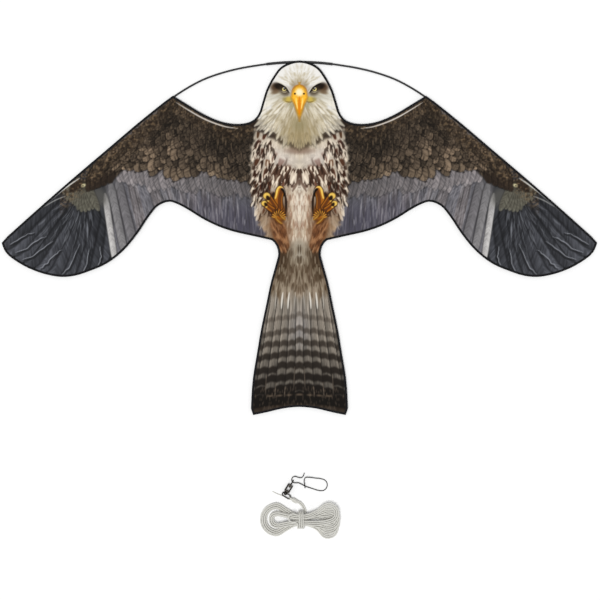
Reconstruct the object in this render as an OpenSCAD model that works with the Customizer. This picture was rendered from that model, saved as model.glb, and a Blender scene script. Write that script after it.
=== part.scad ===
// Bird of prey kite for scaring birds: a flat printed sail on a bowed two-piece
// spar and a spine, lying print side up, with its hanked line and snap swivel beside it.
// X runs along the span, Y from tail to head, Z up from the surface it lies on.

/* [Kite] */
// Span from wing tip to wing tip
wing_span = 1100; // [1000:10:1300]
// Length from the top of the bow to the tail corners
kite_len = 655; // [600:5:800]

/* [Head] */
// Distance from the centre line to the lowest point of the neckline
neck_half = 113; // [105:1:125]
// Depth of the neckline below the top of the bow
neck_drop = 117.5; // [105:0.5:130]
// Distance from the centre line to the line where a wing flexes
root_half = 80; // [76:1:90]

/* [Wings] */
// Distance from the centre line to the wrist, where the sail meets the bow
wrist_half = 232.5; // [215:0.5:250]
// Depth of the wrist below the top of the bow
wrist_drop = 67; // [60:0.5:75]
// Depth of the wing tip below the top of the bow
tip_drop = 337; // [320:1:355]
// Distance from the centre line to the lowest point of the wing's outer lobe
lobe_half = 438.5; // [420:0.5:455]
// Depth of the outer lobe below the top of the bow
lobe_drop = 400; // [385:1:415]
// Distance from the centre line to the notch in the trailing edge
notch_half = 239; // [225:1:255]
// Depth of the notch below the top of the bow
notch_drop = 261; // [250:1:272]

/* [Tail] */
// Half of the width where the wings meet the tail
hip_half = 51.5; // [46:0.5:60]
// Depth of that corner below the top of the bow
hip_drop = 332; // [325:1:342]
// Half of the narrowest width of the tail
waist_half = 39; // [34:0.5:44]
// Depth of the narrowest place below where the wings meet the tail
waist_drop = 25.5; // [20:0.5:30]
// Half of the width at the tail's end
tail_half = 89.5; // [75:0.5:105]
// Rise of the arch in the tail's end
tail_arch = 15; // [8:0.5:24]

/* [Cloth] */
// Thickness of the sail
cloth_t = 0.4; // [0.3:0.05:0.6]
// Thickness of one layer of the edge tape
tape_t = 0.3; // [0.2:0.05:0.5]
// Width of the edge tape on the sail
tape_w = 4; // [3:0.25:6]

/* [Spars] */
// Diameter of the spar and spine rods
rod_d = 3.5; // [3:0.1:4.5]
// Radius of the bow over the head
bow_r = 495; // [450:5:560]
// Length of the ferrule that joins the two rods
ferrule_len = 122; // [90:1:130]
// Wall of the ferrule
ferrule_wall = 0.6; // [0.4:0.05:0.9]
// Wall of the plastic rod caps
cap_wall = 0.45; // [0.35:0.05:0.7]
// Length of a rod cap over its rod
cap_len = 9; // [6:0.5:12]
// Wall of the sewn pockets, sleeves and loops
pocket_wall = 0.4; // [0.3:0.05:0.6]
// Length of a pocket over its rod
pocket_len = 24; // [18:1:28]
// Width of the tab that holds the bow to the head
head_tab_w = 8; // [5:0.5:12]
// Length of that tab on the sail
head_tab_len = 6; // [5:0.5:8]
// Number of loops that hold the spine
loop_count = 3; // [2:1:5]
// Width of one spine loop
loop_w = 12; // [8:1:20]

/* [Tow point] */
// Width of the towing tab
tow_tab_w = 14; // [13:0.5:20]
// Distance from the tab's seam to its eyelet
tow_tab_len = 11; // [10:0.5:13]
// Thickness of the tab's webbing
tow_tab_t = 1.2; // [1:0.1:1.6]
// Bore of the eyelet
eyelet_bore_d = 6; // [5:0.5:7]
// Wall of the eyelet's barrel
eyelet_wall = 0.6; // [0.4:0.1:0.8]
// Height of the eyelet over both flanges
eyelet_h = 2.4; // [2.2:0.1:3]

/* [Line] */
// Diameter of the line
cord_d = 2.6; // [2.2:0.1:2.8]
// Length of the hank outside its loops
hank_len = 150; // [140:1:165]
// Layers of loops in the hank
hank_layers = 4; // [2:2:4]
// Distance from the tail's end to the middle of the hank
line_gap = 193; // [180:1:230]

/* [Snap swivel] */
// Diameter of the ring's wire
ring_wire_d = 1.8; // [1.6:0.1:2]
// Length of the ring between its wire centres
ring_len = 17; // [16:0.5:20]
// Width of the ring between its wire centres
ring_w = 7; // [6.5:0.1:8]
// Height of the swivel's frame and ball
barrel_d = 8; // [7.5:0.1:9]
// Width of the swivel's frame
frame_w = 10.6; // [10:0.1:12]
// Length of the swivel's frame
barrel_len = 14; // [12:0.5:17]
// Diameter of the snap's wire
snap_wire_d = 1.6; // [1.4:0.1:1.7]
// Length of the snap between its wire centres
snap_len = 67; // [62:1:74]
// Width of the snap's bow between its wire centres
snap_w = 22; // [20:0.5:24]

/* [Hidden] */
$fn = 96;

// Clearances: slip fits, seams that nearly touch, room between moving bodies and overrun of cuts
slip = 0.05;
seam = 0.05;
room = 0.3;
overrun = 1;
reach = wing_span;

// Rods, what goes round them and the levels they set
rod_r = rod_d / 2;
ferrule_r = rod_r + slip + ferrule_wall;
cap_r = rod_r + slip + cap_wall;
pocket_bore_r = cap_r + 2 * slip;
pocket_r = pocket_bore_r + pocket_wall;
head_tab_r = ferrule_r + slip + tape_t;
stock_r = max(pocket_r, head_tab_r);
rod_z = stock_r;
tape_z = rod_z + stock_r + seam;
cloth_z = tape_z + tape_t;
tape_top = cloth_z + cloth_t + tape_t;
edge_wall = tape_t + seam;
lead_lip = 0.45;
lead_over = rod_r + lead_lip;
cap_end = 2;
pocket_over = cap_end + room + pocket_wall;
flex_half = root_half - room;
wing_from = root_half + room;
wing_low_y = -lobe_drop / 2;
rod_sides = 12;
rod_facets = 48;
bow_facets = 360;
butt_from = 1;

// A point below the top of the bow, as a place on the sail
function at(p) = [p.x, kite_len / 2 - p.y];

// Places between two corners, from shares of the distance across and down
function between(a, b, shares) =
    [for (s = shares) [a.x + (b.x - a.x) * s.x, a.y + (b.y - a.y) * s.y]];

function flip(p) = [-p.x, p.y];

// A smooth curve through knots: headings by chord length, then cubic steps
function chord(p, i) = norm(p[i + 1] - p[i]);
function rate(p, i) = (p[i + 1] - p[i]) / chord(p, i);
function heading(p, i) =
    i == 0 ? (len(p) == 2 ? rate(p, 0) : (3 * rate(p, 0) - heading(p, 1)) / 2)
    : i == len(p) - 1 ? (3 * rate(p, i - 1) - heading(p, i - 1)) / 2
    : (rate(p, i - 1) * chord(p, i) + rate(p, i) * chord(p, i - 1)) / (chord(p, i - 1) + chord(p, i));
function step(p, i, t) =
    (1 + 2 * t) * (1 - t) * (1 - t) * p[i]
    + t * (1 - t) * (1 - t) * chord(p, i) * heading(p, i)
    + t * t * (3 - 2 * t) * p[i + 1]
    - t * t * (1 - t) * chord(p, i) * heading(p, i + 1);
function curve(p, n, from = 0, left = 0) =
    [for (i = [from:len(p) - 2 - left]) for (k = [0:n - 1]) step(p, i, k / n)];

function unit(v) = v / norm(v);
function ease(t) = let (c = min(1, max(0, t))) c * c * (3 - 2 * c);
function last(p) = p[len(p) - 1];
function part_of(p, a, b) = [for (i = [a:b]) p[i]];

// The bow's centre line on the right: an arc over the head, then the flexed rod out to the tip
steps = 3;
bow_top_y = kite_len / 2 - stock_r;
bow_centre_y = bow_top_y - bow_r;
function bow_turn(x) = asin(x / bow_r);
function bow_at(x) = [x, stock_r + bow_r * (1 - cos(bow_turn(x)))];
wrist = [wrist_half, wrist_drop];
tip = [wing_span / 2, tip_drop];
rod_end_share = 0.959;
rod_end = wrist + (tip - wrist) * rod_end_share;
bow_inner_shares = [[0.14, 0.06], [0.44, 0.255], [0.625, 0.43], [0.81, 0.68]];
bow_outer_shares = [[0.14, 0.127], [0.4, 0.384], [0.667, 0.652]];
bow_from = bow_at(wing_from);
bow_knots = concat(
    [bow_at(wing_from / 2), bow_from],
    between(bow_from, wrist, bow_inner_shares),
    [wrist],
    between(wrist, rod_end, bow_outer_shares),
    [rod_end]
);
bow = [for (p = concat(curve(bow_knots, steps, 1), [rod_end])) at(p)];
wrist_step = steps * (len(bow_inner_shares) + 1);
rod_dir = unit(last(bow) - bow[len(bow) - 2]);
rod_angle = atan2(rod_dir.y, rod_dir.x);

// The sail's edge on the right, from the crown round the wing and the tail to the tail's middle
function lead_at(i) =
    let (d = unit(bow[min(i + 1, len(bow) - 1)] - bow[i - 1]))
    bow[i] + lead_over * [-d.y, d.x];
lead = [for (i = [wrist_step:len(bow) - 1]) lead_at(i)];
crown = [0, tape_t];
neck = [neck_half, neck_drop];
lobe = [lobe_half, lobe_drop];
notch = [notch_half, notch_drop];
hip = [hip_half, hip_drop];
waist = [waist_half, hip_drop + waist_drop];
tail_corner = [tail_half, kite_len - 3 * tape_w];
tail_foot = [tail_half - tape_w, kite_len];
tail_mid = [0, kite_len - tail_arch];
head_shares = [
    [0.219, 0.053], [0.317, 0.113], [0.416, 0.237], [0.546, 0.475], [0.611, 0.678],
    [0.677, 0.856], [0.74, 0.927], [0.81, 0.967], [1, 1]
];
shoulder_shares = [[0.187, 0.042], [0.306, 0.117], [0.554, 0.378], [0.798, 0.717]];
tip_shares = [[0.063, 0.265], [0.272, 0.571], [0.538, 0.81], [0.8, 0.952], [1, 1]];
lobe_shares = [
    [0.111, 0.014], [0.259, 0.081], [0.407, 0.173], [0.555, 0.333], [0.704, 0.586],
    [0.815, 0.824], [0.89, 0.945], [1, 1]
];
notch_shares = [[0.08, 0.07], [0.157, 0.175], [0.315, 0.434], [0.475, 0.642], [0.63, 0.78], [0.79, 0.876]];
waist_shares = [[0.44, 0.197], [1, 1]];
tail_shares = [[0.065, 0.051], [0.268, 0.18], [0.45, 0.334], [0.635, 0.49], [0.78, 0.644], [0.926, 0.8]];
foot_shares = [[0.29, 0.333], [0.63, 0.79]];
head_knots = concat([crown], between(crown, neck, head_shares));
lead_start = [lead[0].x, kite_len / 2 - lead[0].y];
neck_knots = concat(head_knots, between(neck, lead_start, shoulder_shares), [lead_start]);
trail_knots = concat(
    [tip], between(tip, lobe, tip_shares), between(lobe, notch, lobe_shares),
    between(notch, hip, notch_shares), [hip]
);
tail_knots = concat(
    [hip], between(hip, waist, waist_shares), between(waist, tail_corner, tail_shares), [tail_corner]
);
foot_knots = concat([tail_foot], between(tail_foot, tail_mid, foot_shares), [tail_mid]);
edge_right = concat(
    [for (p = curve(concat([flip(neck_knots[1])], neck_knots), steps, 1)) at(p)],
    lead,
    [for (p = curve(trail_knots, steps)) at(p)],
    [for (p = curve(tail_knots, steps)) at(p)],
    [at(tail_corner)],
    [for (p = curve(concat(foot_knots, [flip(foot_knots[len(foot_knots) - 2])]), steps, 0, 1)) at(p)]
);
edge = concat(
    edge_right,
    [at(tail_mid)],
    [for (i = [len(edge_right) - 1:-1:1]) flip(edge_right[i])]
);

// The edge moved inwards, corner by corner; the edge runs clockwise
function inward(a, b) = let (d = unit(b - a)) [d.y, -d.x];
function inset(p, d = 1) = [
    for (i = [0:len(p) - 1])
        let (
            n1 = inward(p[(i + len(p) - 1) % len(p)], p[i]),
            n2 = inward(p[i], p[(i + 1) % len(p)])
        )
        p[i] + d * (n1 + n2) / (1 + n1 * n2)
];
binding_split_y = at((neck + notch) / 2).y;
cloth_edge = inset(edge, edge_wall);
tape_inner = inset(edge, tape_w);

// The spine on the centre line and the tow point between it and the bow
tow_drop = 27.5;
tow_y = kite_len / 2 - tow_drop;
tow_z = cloth_z - room / 2 - eyelet_h / 2;
eyelet_r = eyelet_bore_d / 2;
eyelet_barrel_r = eyelet_r + eyelet_wall;
eyelet_flange_r = eyelet_barrel_r + 2 * eyelet_wall;
spine_top_y = tow_y - tow_tab_t / 2 - room - pocket_over;
spine_foot_y = at(tail_mid).y + tape_w + pocket_over + 2 * overrun;
patch_w = 4 * stock_r;

// The line set: where its middle lies and the directions of its hardware
line_shift = 3;
line_at = [line_shift, -kite_len / 2 - line_gap, 0];
cord_r = cord_d / 2;
cord_sides = 6;
lead_sides = 8;
loop_steps = 24;
hank_turns = 3;
strand_gap = 0.68;
layer_gap = 0.8;
turn_gap = 0.7;
wrap_gap = 1;
cord_step = cord_d + strand_gap;
layer_step = cord_d + layer_gap;
hank_short = 2;
hank_left = hank_len / 2;
hank_right = hank_left - hank_short;
lobe_left = 29;
lobe_inner = 16.2;
lobe_right = 19;
waist_y = 10;
waist_lift = cord_d + wrap_gap;
waist_run = 9;
waist_fall = 22;
sink_run = 18;
fan_run = 45;
fan_turns = hank_layers == 4 ? [-18, -8, 2, 13] : [-9, 6];
wrap_turns = 3.5;
wrap_from_x = -6;
wrap_side_gap = 2.8;
wrap_corner_r = 7.4;
corner_steps = 4;
wrap_step = cord_d + turn_gap;
wrap_y = waist_y + cord_d + wrap_side_gap;
wrap_low_z = cord_r;
wrap_high_z = cord_r + (hank_layers - 1) * layer_step + waist_lift + cord_d + wrap_gap;
hw_z = barrel_d / 2;
hw_turn = -31.2;
along_dir = [cos(hw_turn), sin(hw_turn), 0];
cross_dir = [-sin(hw_turn), cos(hw_turn), 0];
ring_at = [-27, 44, hw_z];
ring_r = ring_wire_d / 2;
ring_end = ring_at + along_dir * ring_len / 2;
eye_wire_r = 1;
eye_play = 0.7;
eye_ring_r = ring_r + eye_wire_r + eye_play;
ball_r = barrel_d / 2;
ball_bore_r = ring_r + 2 * eye_play;
link_at = ring_at + cross_dir * ring_w / 2 - along_dir * ring_w / 2;
barrel_from = eye_ring_r + eye_wire_r / 2;
window_w = 5.6;
hub_t = 3;
base_t = 2;
shank_r = 1.2;
shank_head_r = 1.9;
shank_head_h = 1.6;
stem_len = 3.3;
eye_at = barrel_from + barrel_len + stem_len + eye_ring_r + eye_wire_r;
snap_eye = link_at + cross_dir * eye_at;
snap_r = snap_wire_d / 2;
snap_turn = -11.5;
snap_loop_r = 6;
snap_eye_turn = 234;
snap_eye_local = snap_loop_r * [1 + cos(snap_eye_turn), sin(snap_eye_turn), 0];
snap_tilt = asin((hw_z - snap_r) / (snap_len - snap_eye_local.x));
snap_lift = snap_wire_d + room;
knot_from = 3.5;
knot_ribs = 5;
knot_len = 11.7;
knot_r = hw_z - 2 * slip;
bail_r = ring_r + cord_r + 2 * slip;
knot_end = ring_end + along_dir * (knot_from + knot_len);

// A round wire or cord: rings square to the path, joined by triangles
function path_dir(p, i) = unit(p[min(i + 1, len(p) - 1)] - p[max(i - 1, 0)]);
function ring_points(p, i, r, sides, ref) =
    let (t = path_dir(p, i), n = unit(cross(ref, t)), b = cross(t, n))
    [for (k = [0:sides - 1]) p[i] + r * (cos(360 * k / sides) * n + sin(360 * k / sides) * b)];
function side_faces(a, b, c, d) = [[a, d, c], [a, c, b]];
module sweep(p, r, sides, ref = [0, 0, 1]) {
    top = (len(p) - 1) * sides;
    polyhedron(
        points = [for (i = [0:len(p) - 1]) for (q = ring_points(p, i, r, sides, ref)) q],
        faces = concat(
            [for (k = [1:sides - 2]) [0, k, k + 1]],
            [for (k = [1:sides - 2]) [top, top + k + 1, top + k]],
            [for (i = [0:len(p) - 2]) for (k = [0:sides - 1])
                for (f = side_faces(i * sides + k, i * sides + (k + 1) % sides,
                                    (i + 1) * sides + (k + 1) % sides, (i + 1) * sides + k)) f]
        ),
        convexity = 10
    );
}
function lift(p, z) = [for (q = p) [q.x, q.y, z]];

// The wrap: a round-cornered helix round the waist that ends below it
wrap_mid_z = (wrap_low_z + wrap_high_z) / 2;
wrap_half_z = (wrap_high_z - wrap_low_z) / 2;
function wrap_corner(side, level, turn) = [
    for (k = [0:corner_steps])
        let (a = turn + 90 * k / corner_steps)
        [
            side * (wrap_y - wrap_corner_r) + wrap_corner_r * cos(a),
            wrap_mid_z + level * (wrap_half_z - wrap_corner_r) + wrap_corner_r * sin(a)
        ]
];
wrap_loop = concat(
    wrap_corner(-1, 1, 90), wrap_corner(-1, -1, 180), [[0, wrap_low_z]],
    wrap_corner(1, -1, 270), wrap_corner(1, 1, 0), [[0, wrap_high_z]]
);
wrap_path = [
    for (i = [0:wrap_turns * len(wrap_loop) - 1])
        let (p = wrap_loop[i % len(wrap_loop)])
        [wrap_from_x + wrap_step * i / len(wrap_loop), p.x, p.y]
];

// The hank: loops with a drawn-in waist that spiral in and out, a layer up at each turn round;
// the upper layers have narrow loops that settle inside the wide ones
arc_steps = loop_steps / 3 - 1;
arc_turns = [for (k = [0:arc_steps]) 180 * k / arc_steps];
left_c = hank_left - cord_r - lobe_left;
right_c = hank_right - cord_r - lobe_right;
right_run = [[waist_run, -waist_y], [(waist_run + right_c) / 2, -(waist_y + lobe_right) / 2]];
function hank_loop(lobe) =
    let (left_run = [[-waist_run, waist_y], [-(waist_run + left_c) / 2, (waist_y + lobe) / 2]])
    concat(
        right_run,
        [for (a = arc_turns) [right_c, 0] + lobe_right * [sin(a), -cos(a)]],
        [for (k = [1:-1:0]) [right_run[k].x, -right_run[k].y]],
        left_run,
        [for (a = arc_turns) [-left_c, 0] - lobe * [sin(a), -cos(a)]],
        [for (k = [1:-1:0]) [left_run[k].x, -left_run[k].y]]
    );
wide_loop = hank_loop(lobe_left);
narrow_loop = hank_loop(lobe_inner);
wide_inward = wide_loop - inset(wide_loop);
narrow_inward = narrow_loop - inset(narrow_loop);
function hank_flat(k, layer, draw) =
    layer < 2 ? wide_loop[k] + draw * wide_inward[k] : narrow_loop[k] + draw * narrow_inward[k];
function hank_drawn(turn) = turn < hank_turns - 0.25 ? turn : 2 * hank_turns - 0.5 - turn;
function hank_fan(p, layer) =
    let (a = fan_turns[layer] * ease((p.x - waist_run) / fan_run))
    [p.x * cos(a) - p.y * sin(a), p.x * sin(a) + p.y * cos(a)];
function hank_point(i) =
    let (
        layer = min(hank_layers - 1, floor(i / loop_steps / hank_turns)),
        turn = i / loop_steps - layer * hank_turns,
        drawn = layer % 2 == 0 ? hank_drawn(turn) : hank_turns - 0.5 - hank_drawn(turn),
        flat = hank_flat(i % loop_steps, layer, cord_step * drawn),
        fanned = hank_fan(flat, layer),
        climb = ease((turn - (hank_turns - 0.5)) / 0.5),
        sink = layer < 2 ? 0 : 2 * ease((-flat.x - left_c) / sink_run),
        hump = waist_lift * (1 - ease((abs(flat.x) - waist_run) / waist_fall))
    )
    [fanned.x, fanned.y, cord_r + (layer + climb - sink) * layer_step + hump];
hank_end = loop_steps * (hank_layers * hank_turns - 0.5);
hank_top = hank_point(hank_end);
link_shares = [
    [-1.346, 0.615, 0.346], [-2.769, 0.731, 0.808], [-4.615, -0.231, 1.192], [-5.385, -2.154, 1.385],
    [-4.692, -4, 1.423], [-3, -5, 1.423], [-1, -5.154, 1.385], [0.615, -5.923, 1.385]
];
wrap_lead_in = wrap_path[0] - cord_r / 2 * unit(wrap_path[1] - wrap_path[0]);
link_knots = concat([hank_top], [for (q = link_shares) hank_top + cord_d * q], [wrap_lead_in, wrap_path[0]]);
link_steps = 2;
hank_path = concat(
    [for (i = [0:hank_end - 1]) hank_point(i)],
    curve(link_knots, link_steps),
    [wrap_path[0]]
);

// The free stretch from under the wrap to the knot
lead_shares = [[0, 0.135, 0], [0, 0.337, 0], [0, 0.539, 0.037], [0.17, 0.707, 0.26], [0.511, 0.859, 0.63]];
wrap_last = last(wrap_path);
lead_end = knot_end + 1.5 * cord_d * along_dir;
lead_way = lead_end - wrap_last;
lead_knots = concat(
    [wrap_last],
    [for (q = lead_shares) wrap_last + [lead_way.x * q.x, lead_way.y * q.y, lead_way.z * q.z]],
    [lead_end, knot_end]
);

module slab(p, z, t) {
    translate([0, 0, z]) linear_extrude(t) polygon(p);
}
module wing_side(from) {
    translate([from, wing_low_y, -reach]) cube([reach, reach, 2 * reach]);
}
module middle() {
    difference() {
        children();
        wing_side(flex_half);
        mirror([1, 0, 0]) wing_side(flex_half);
    }
}
module tape() {
    difference() {
        slab(edge, tape_z, tape_top - tape_z);
        slab(tape_inner, tape_z - overrun, tape_top - tape_z + 2 * overrun);
        slab(cloth_edge, cloth_z, cloth_t);
    }
}
// A piece along the level direction a, from a point
module along(p, a) {
    translate([p.x, p.y, rod_z]) rotate([0, 90, a]) children();
}
module bow_piece(x0, x1, r, bore) {
    translate([0, bow_centre_y, rod_z])
        rotate([0, 0, 90 - bow_turn(x1)])
            rotate_extrude(angle = bow_turn(x1) - bow_turn(x0), $fn = bow_facets)
                translate([bow_r, 0])
                    difference() {
                        circle(r, $fn = rod_facets);
                        if (bore > 0) circle(bore, $fn = rod_facets);
                    }
}
module rod_cap(p, a) {
    along(p, a) difference() {
        translate([0, 0, -cap_len]) cylinder(r = cap_r, h = cap_len + cap_end);
        translate([0, 0, -cap_len - overrun]) cylinder(r = rod_r + slip, h = cap_len + overrun + slip);
    }
}
module pocket_bore(p, a) {
    along(p, a) translate([0, 0, -pocket_len - overrun])
        cylinder(r = pocket_bore_r, h = pocket_len + overrun + cap_end + room);
}
module pocket_body(p, a) {
    along(p, a) translate([0, 0, -pocket_len]) cylinder(r = pocket_r, h = pocket_len + pocket_over);
}
module patch(y0, y1) {
    low = rod_z + pocket_bore_r + pocket_wall / 4;
    translate([-patch_w / 2, y0, low]) cube([patch_w, y1 - y0, cloth_z - low]);
}
module to_line() {
    translate(line_at) children();
}

// Body: the middle of the sail with its bindings
module sail_body() {
    color("wheat") middle() slab(cloth_edge, cloth_z, cloth_t);
}
module head_binding() {
    color("black") intersection() {
        middle() tape();
        translate([-reach, binding_split_y, -reach]) cube([2 * reach, reach, 2 * reach]);
    }
}
module tail_binding() {
    color("black") intersection() {
        middle() tape();
        translate([-reach, binding_split_y - reach, -reach]) cube([2 * reach, reach, 2 * reach]);
    }
}

// Body: the middle of the bow
module spar_ferrule() {
    color("black") bow_piece(-ferrule_len / 2, ferrule_len / 2, ferrule_r, rod_r + slip);
}
module right_rod_butt() {
    color("dimgray") bow_piece(butt_from, flex_half, rod_r, 0);
}
module left_rod_butt() {
    color("dimgray") bow_piece(-flex_half, -butt_from, rod_r, 0);
}
module head_tab() {
    low = rod_z + ferrule_r + slip;
    color("black") union() {
        bow_piece(-head_tab_w / 2, head_tab_w / 2, head_tab_r, ferrule_r + slip);
        translate([-head_tab_w / 2, bow_top_y - head_tab_len, low]) cube([head_tab_w, head_tab_len, tape_t]);
    }
}

// Body: the spine
module spine_rod() {
    color("dimgray") along([0, spine_foot_y], 90) cylinder(r = rod_r, h = spine_top_y - spine_foot_y);
}
module spine_head_cap() {
    color("black") rod_cap([0, spine_top_y], 90);
}
module spine_tail_cap() {
    color("black") rod_cap([0, spine_foot_y], -90);
}
module spine_head_pocket() {
    color("black") difference() {
        union() {
            pocket_body([0, spine_top_y], 90);
            patch(spine_top_y - pocket_len, spine_top_y + pocket_over);
        }
        pocket_bore([0, spine_top_y], 90);
    }
}
module spine_tail_pocket() {
    color("black") difference() {
        union() {
            pocket_body([0, spine_foot_y], -90);
            patch(spine_foot_y - pocket_over, spine_foot_y + pocket_len);
        }
        pocket_bore([0, spine_foot_y], -90);
    }
}
module spine_loops() {
    color("black") for (i = [1:loop_count]) {
        y = spine_foot_y + (spine_top_y - spine_foot_y) * i / (loop_count + 1) - loop_w / 2;
        difference() {
            union() {
                along([0, y], 90) cylinder(r = pocket_r, h = loop_w);
                patch(y, y + loop_w);
            }
            along([0, y - overrun], 90) cylinder(r = pocket_bore_r, h = loop_w + 2 * overrun);
        }
    }
}

// Tow point: a webbing tab that swings at its seam, with a pressed eyelet
module tow_tab() {
    color("black") translate([0, tow_y, tow_z]) difference() {
        union() {
            translate([-tow_tab_w / 2, 0, 0]) rotate([0, 90, 0]) cylinder(d = tow_tab_t, h = tow_tab_w);
            translate([-tow_tab_w / 2, 0, -tow_tab_t / 2]) cube([tow_tab_w, tow_tab_len, tow_tab_t]);
            translate([0, tow_tab_len, -tow_tab_t / 2]) cylinder(d = tow_tab_w, h = tow_tab_t);
        }
        translate([0, tow_tab_len, -tow_tab_t]) cylinder(r = eyelet_barrel_r, h = 2 * tow_tab_t);
    }
}
module tow_eyelet() {
    flange_t = (eyelet_h - tow_tab_t) / 2;
    color("goldenrod") translate([0, tow_y + tow_tab_len, tow_z]) difference() {
        union() {
            translate([0, 0, -eyelet_h / 2]) cylinder(r = eyelet_barrel_r, h = eyelet_h);
            translate([0, 0, tow_tab_t / 2]) cylinder(r = eyelet_flange_r, h = flange_t);
            translate([0, 0, -eyelet_h / 2]) cylinder(r = eyelet_flange_r, h = flange_t);
        }
        translate([0, 0, -eyelet_h]) cylinder(r = eyelet_r, h = 2 * eyelet_h);
    }
}

// Wings: sail, binding, rod, sleeve, cap and pocket, the left one mirrored
module right_wing_sail() {
    color("saddlebrown") intersection() {
        slab(cloth_edge, cloth_z, cloth_t);
        wing_side(wing_from);
    }
}
module right_wing_binding() {
    color("black") intersection() {
        tape();
        wing_side(wing_from);
    }
}
module right_spar_rod() {
    color("dimgray") sweep(lift(bow, rod_z), rod_r, rod_sides);
}
module right_spar_sleeve() {
    sleeve_end = last(bow) - rod_dir * (pocket_len + room);
    sleeve = concat(part_of(bow, wrist_step + 1, len(bow) - 2), [sleeve_end]);
    core = concat(part_of(bow, wrist_step, len(bow) - 2), [last(bow)]);
    color("black") difference() {
        sweep(lift(sleeve, rod_z), pocket_r, rod_sides);
        sweep(lift(core, rod_z), pocket_bore_r, rod_sides);
    }
}
module right_spar_cap() {
    color("black") rod_cap(last(bow), rod_angle);
}
module right_tip_pocket() {
    color("black") difference() {
        pocket_body(last(bow), rod_angle);
        pocket_bore(last(bow), rod_angle);
    }
}
module left_wing_sail() {
    mirror([1, 0, 0]) right_wing_sail();
}
module left_wing_binding() {
    mirror([1, 0, 0]) right_wing_binding();
}
module left_spar_rod() {
    mirror([1, 0, 0]) right_spar_rod();
}
module left_spar_sleeve() {
    mirror([1, 0, 0]) right_spar_sleeve();
}
module left_spar_cap() {
    mirror([1, 0, 0]) right_spar_cap();
}
module left_tip_pocket() {
    mirror([1, 0, 0]) right_tip_pocket();
}

// Line: hank, wrap, free stretch, knot and ring
module line_hank() {
    color("white") to_line() sweep(hank_path, cord_r, cord_sides);
}
module line_wrap() {
    color("white") to_line() sweep(wrap_path, cord_r, cord_sides, [1, 0, 0]);
}
module line_lead() {
    color("white") to_line() sweep(concat(curve(lead_knots, steps), [knot_end]), cord_r, lead_sides);
}
module line_knot() {
    rib = knot_len / knot_ribs;
    color("white") to_line() translate(ring_end) rotate([0, 0, hw_turn]) {
        rotate([90, 0, 0]) rotate([0, 0, 90]) rotate_extrude(angle = 180)
            translate([bail_r, 0]) circle(cord_r);
        for (s = [-1, 1])
            translate([0, 0, s * bail_r]) rotate([0, 90, 0]) cylinder(r = cord_r, h = knot_from + rib / 2);
        translate([knot_from, 0, 0]) rotate([0, 90, 0]) rotate_extrude() {
            square([knot_r - rib / 2, knot_len]);
            for (i = [0:knot_ribs - 1])
                translate([knot_r - rib / 2, (i + 0.5) * rib]) circle(rib / 2);
        }
    }
}
module line_ring() {
    half = (ring_len - ring_w) / 2;
    color("dimgray") to_line() translate(ring_at) rotate([0, 0, hw_turn]) {
        for (s = [0, 180]) rotate([0, 0, s]) {
            translate([half, 0, 0]) rotate([0, 0, -90]) rotate_extrude(angle = 180)
                translate([ring_w / 2, 0]) circle(ring_r);
            translate([-half, ring_w / 2, 0]) rotate([0, 90, 0]) cylinder(r = ring_r, h = 2 * half);
        }
    }
}

// Swivel: a ball on the ring with a frame, and an eye that spins in the frame's hub
module swivel_place() {
    to_line() translate(link_at) rotate([0, 0, hw_turn]) children();
}
module eye_ring() {
    rotate([0, 90, 0]) rotate_extrude() translate([eye_ring_r, 0]) circle(eye_wire_r);
}
module swivel_frame() {
    window_len = barrel_len - hub_t - base_t;
    color("dimgray") swivel_place() {
        rotate([0, 90, 0]) rotate_extrude() intersection() {
            circle(ball_r);
            translate([ball_bore_r, -ball_r]) square([ball_r, 2 * ball_r]);
        }
        difference() {
            intersection() {
                translate([0, barrel_from, 0]) rotate([-90, 0, 0]) cylinder(d = frame_w, h = barrel_len);
                translate([-frame_w, 0, -barrel_d / 2]) cube([2 * frame_w, reach, barrel_d]);
            }
            translate([-window_w / 2, barrel_from + base_t, -barrel_d])
                cube([window_w, window_len, 2 * barrel_d]);
            translate([0, barrel_from + base_t, 0]) rotate([-90, 0, 0])
                cylinder(r = shank_r + slip, h = barrel_len);
        }
    }
}
module swivel_eye() {
    hub_y = barrel_from + barrel_len - hub_t;
    color("dimgray") swivel_place() {
        translate([0, hub_y - room, 0]) rotate([90, 0, 0]) cylinder(r = shank_head_r, h = shank_head_h);
        translate([0, hub_y - 2 * room, 0]) rotate([-90, 0, 0])
            cylinder(r = shank_r, h = eye_at - eye_ring_r - hub_y + 2 * room);
        translate([0, eye_at, 0]) eye_ring();
    }
}

// Snap: one wire bent into an eye, a bow and a spring leg whose end hooks over the other leg
module snap_place() {
    to_line() translate(snap_eye) rotate([0, snap_tilt, snap_turn]) translate(-snap_eye_local) children();
}
snap_sides = 8;
snap_steps = 2;
loop_turns = [150, 180, 207, 234, 261, 288];
bow_turns = [-90, -60, -30, 0];
lock_turns = [4, 30, 60, 90];
bow_c = snap_len - snap_w / 2;
upright_shares = [[0.306, 0.705], [0.296, 0.455], [0.261, 0.273], [0.164, 0.236], [0.082, 0.273]];
leg_shares = [[0.209, -0.209], [0.388, -0.364], [0.627, -0.455]];
lock_shares = [
    [0.64, 0.464, 0.474], [0.452, 0.423, 1], [0.358, 0.345, 1], [0.338, 0.177, 1], [0.36, -0.118, 1],
    [0.394, -0.382, 1], [0.409, -0.523, 1]
];
function snap_flat(q) = [q.x * snap_len, q.y * snap_w, 0];
function snap_bow(a) = [bow_c + snap_w / 2 * cos(a), snap_w / 2 * sin(a), 0];
snap_wire_knots = concat(
    [for (q = upright_shares) snap_flat(q)],
    [for (a = loop_turns) snap_loop_r * [1 + cos(a), sin(a), 0]],
    [for (q = leg_shares) snap_flat(q)],
    [for (a = bow_turns) snap_bow(a)]
);
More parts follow.
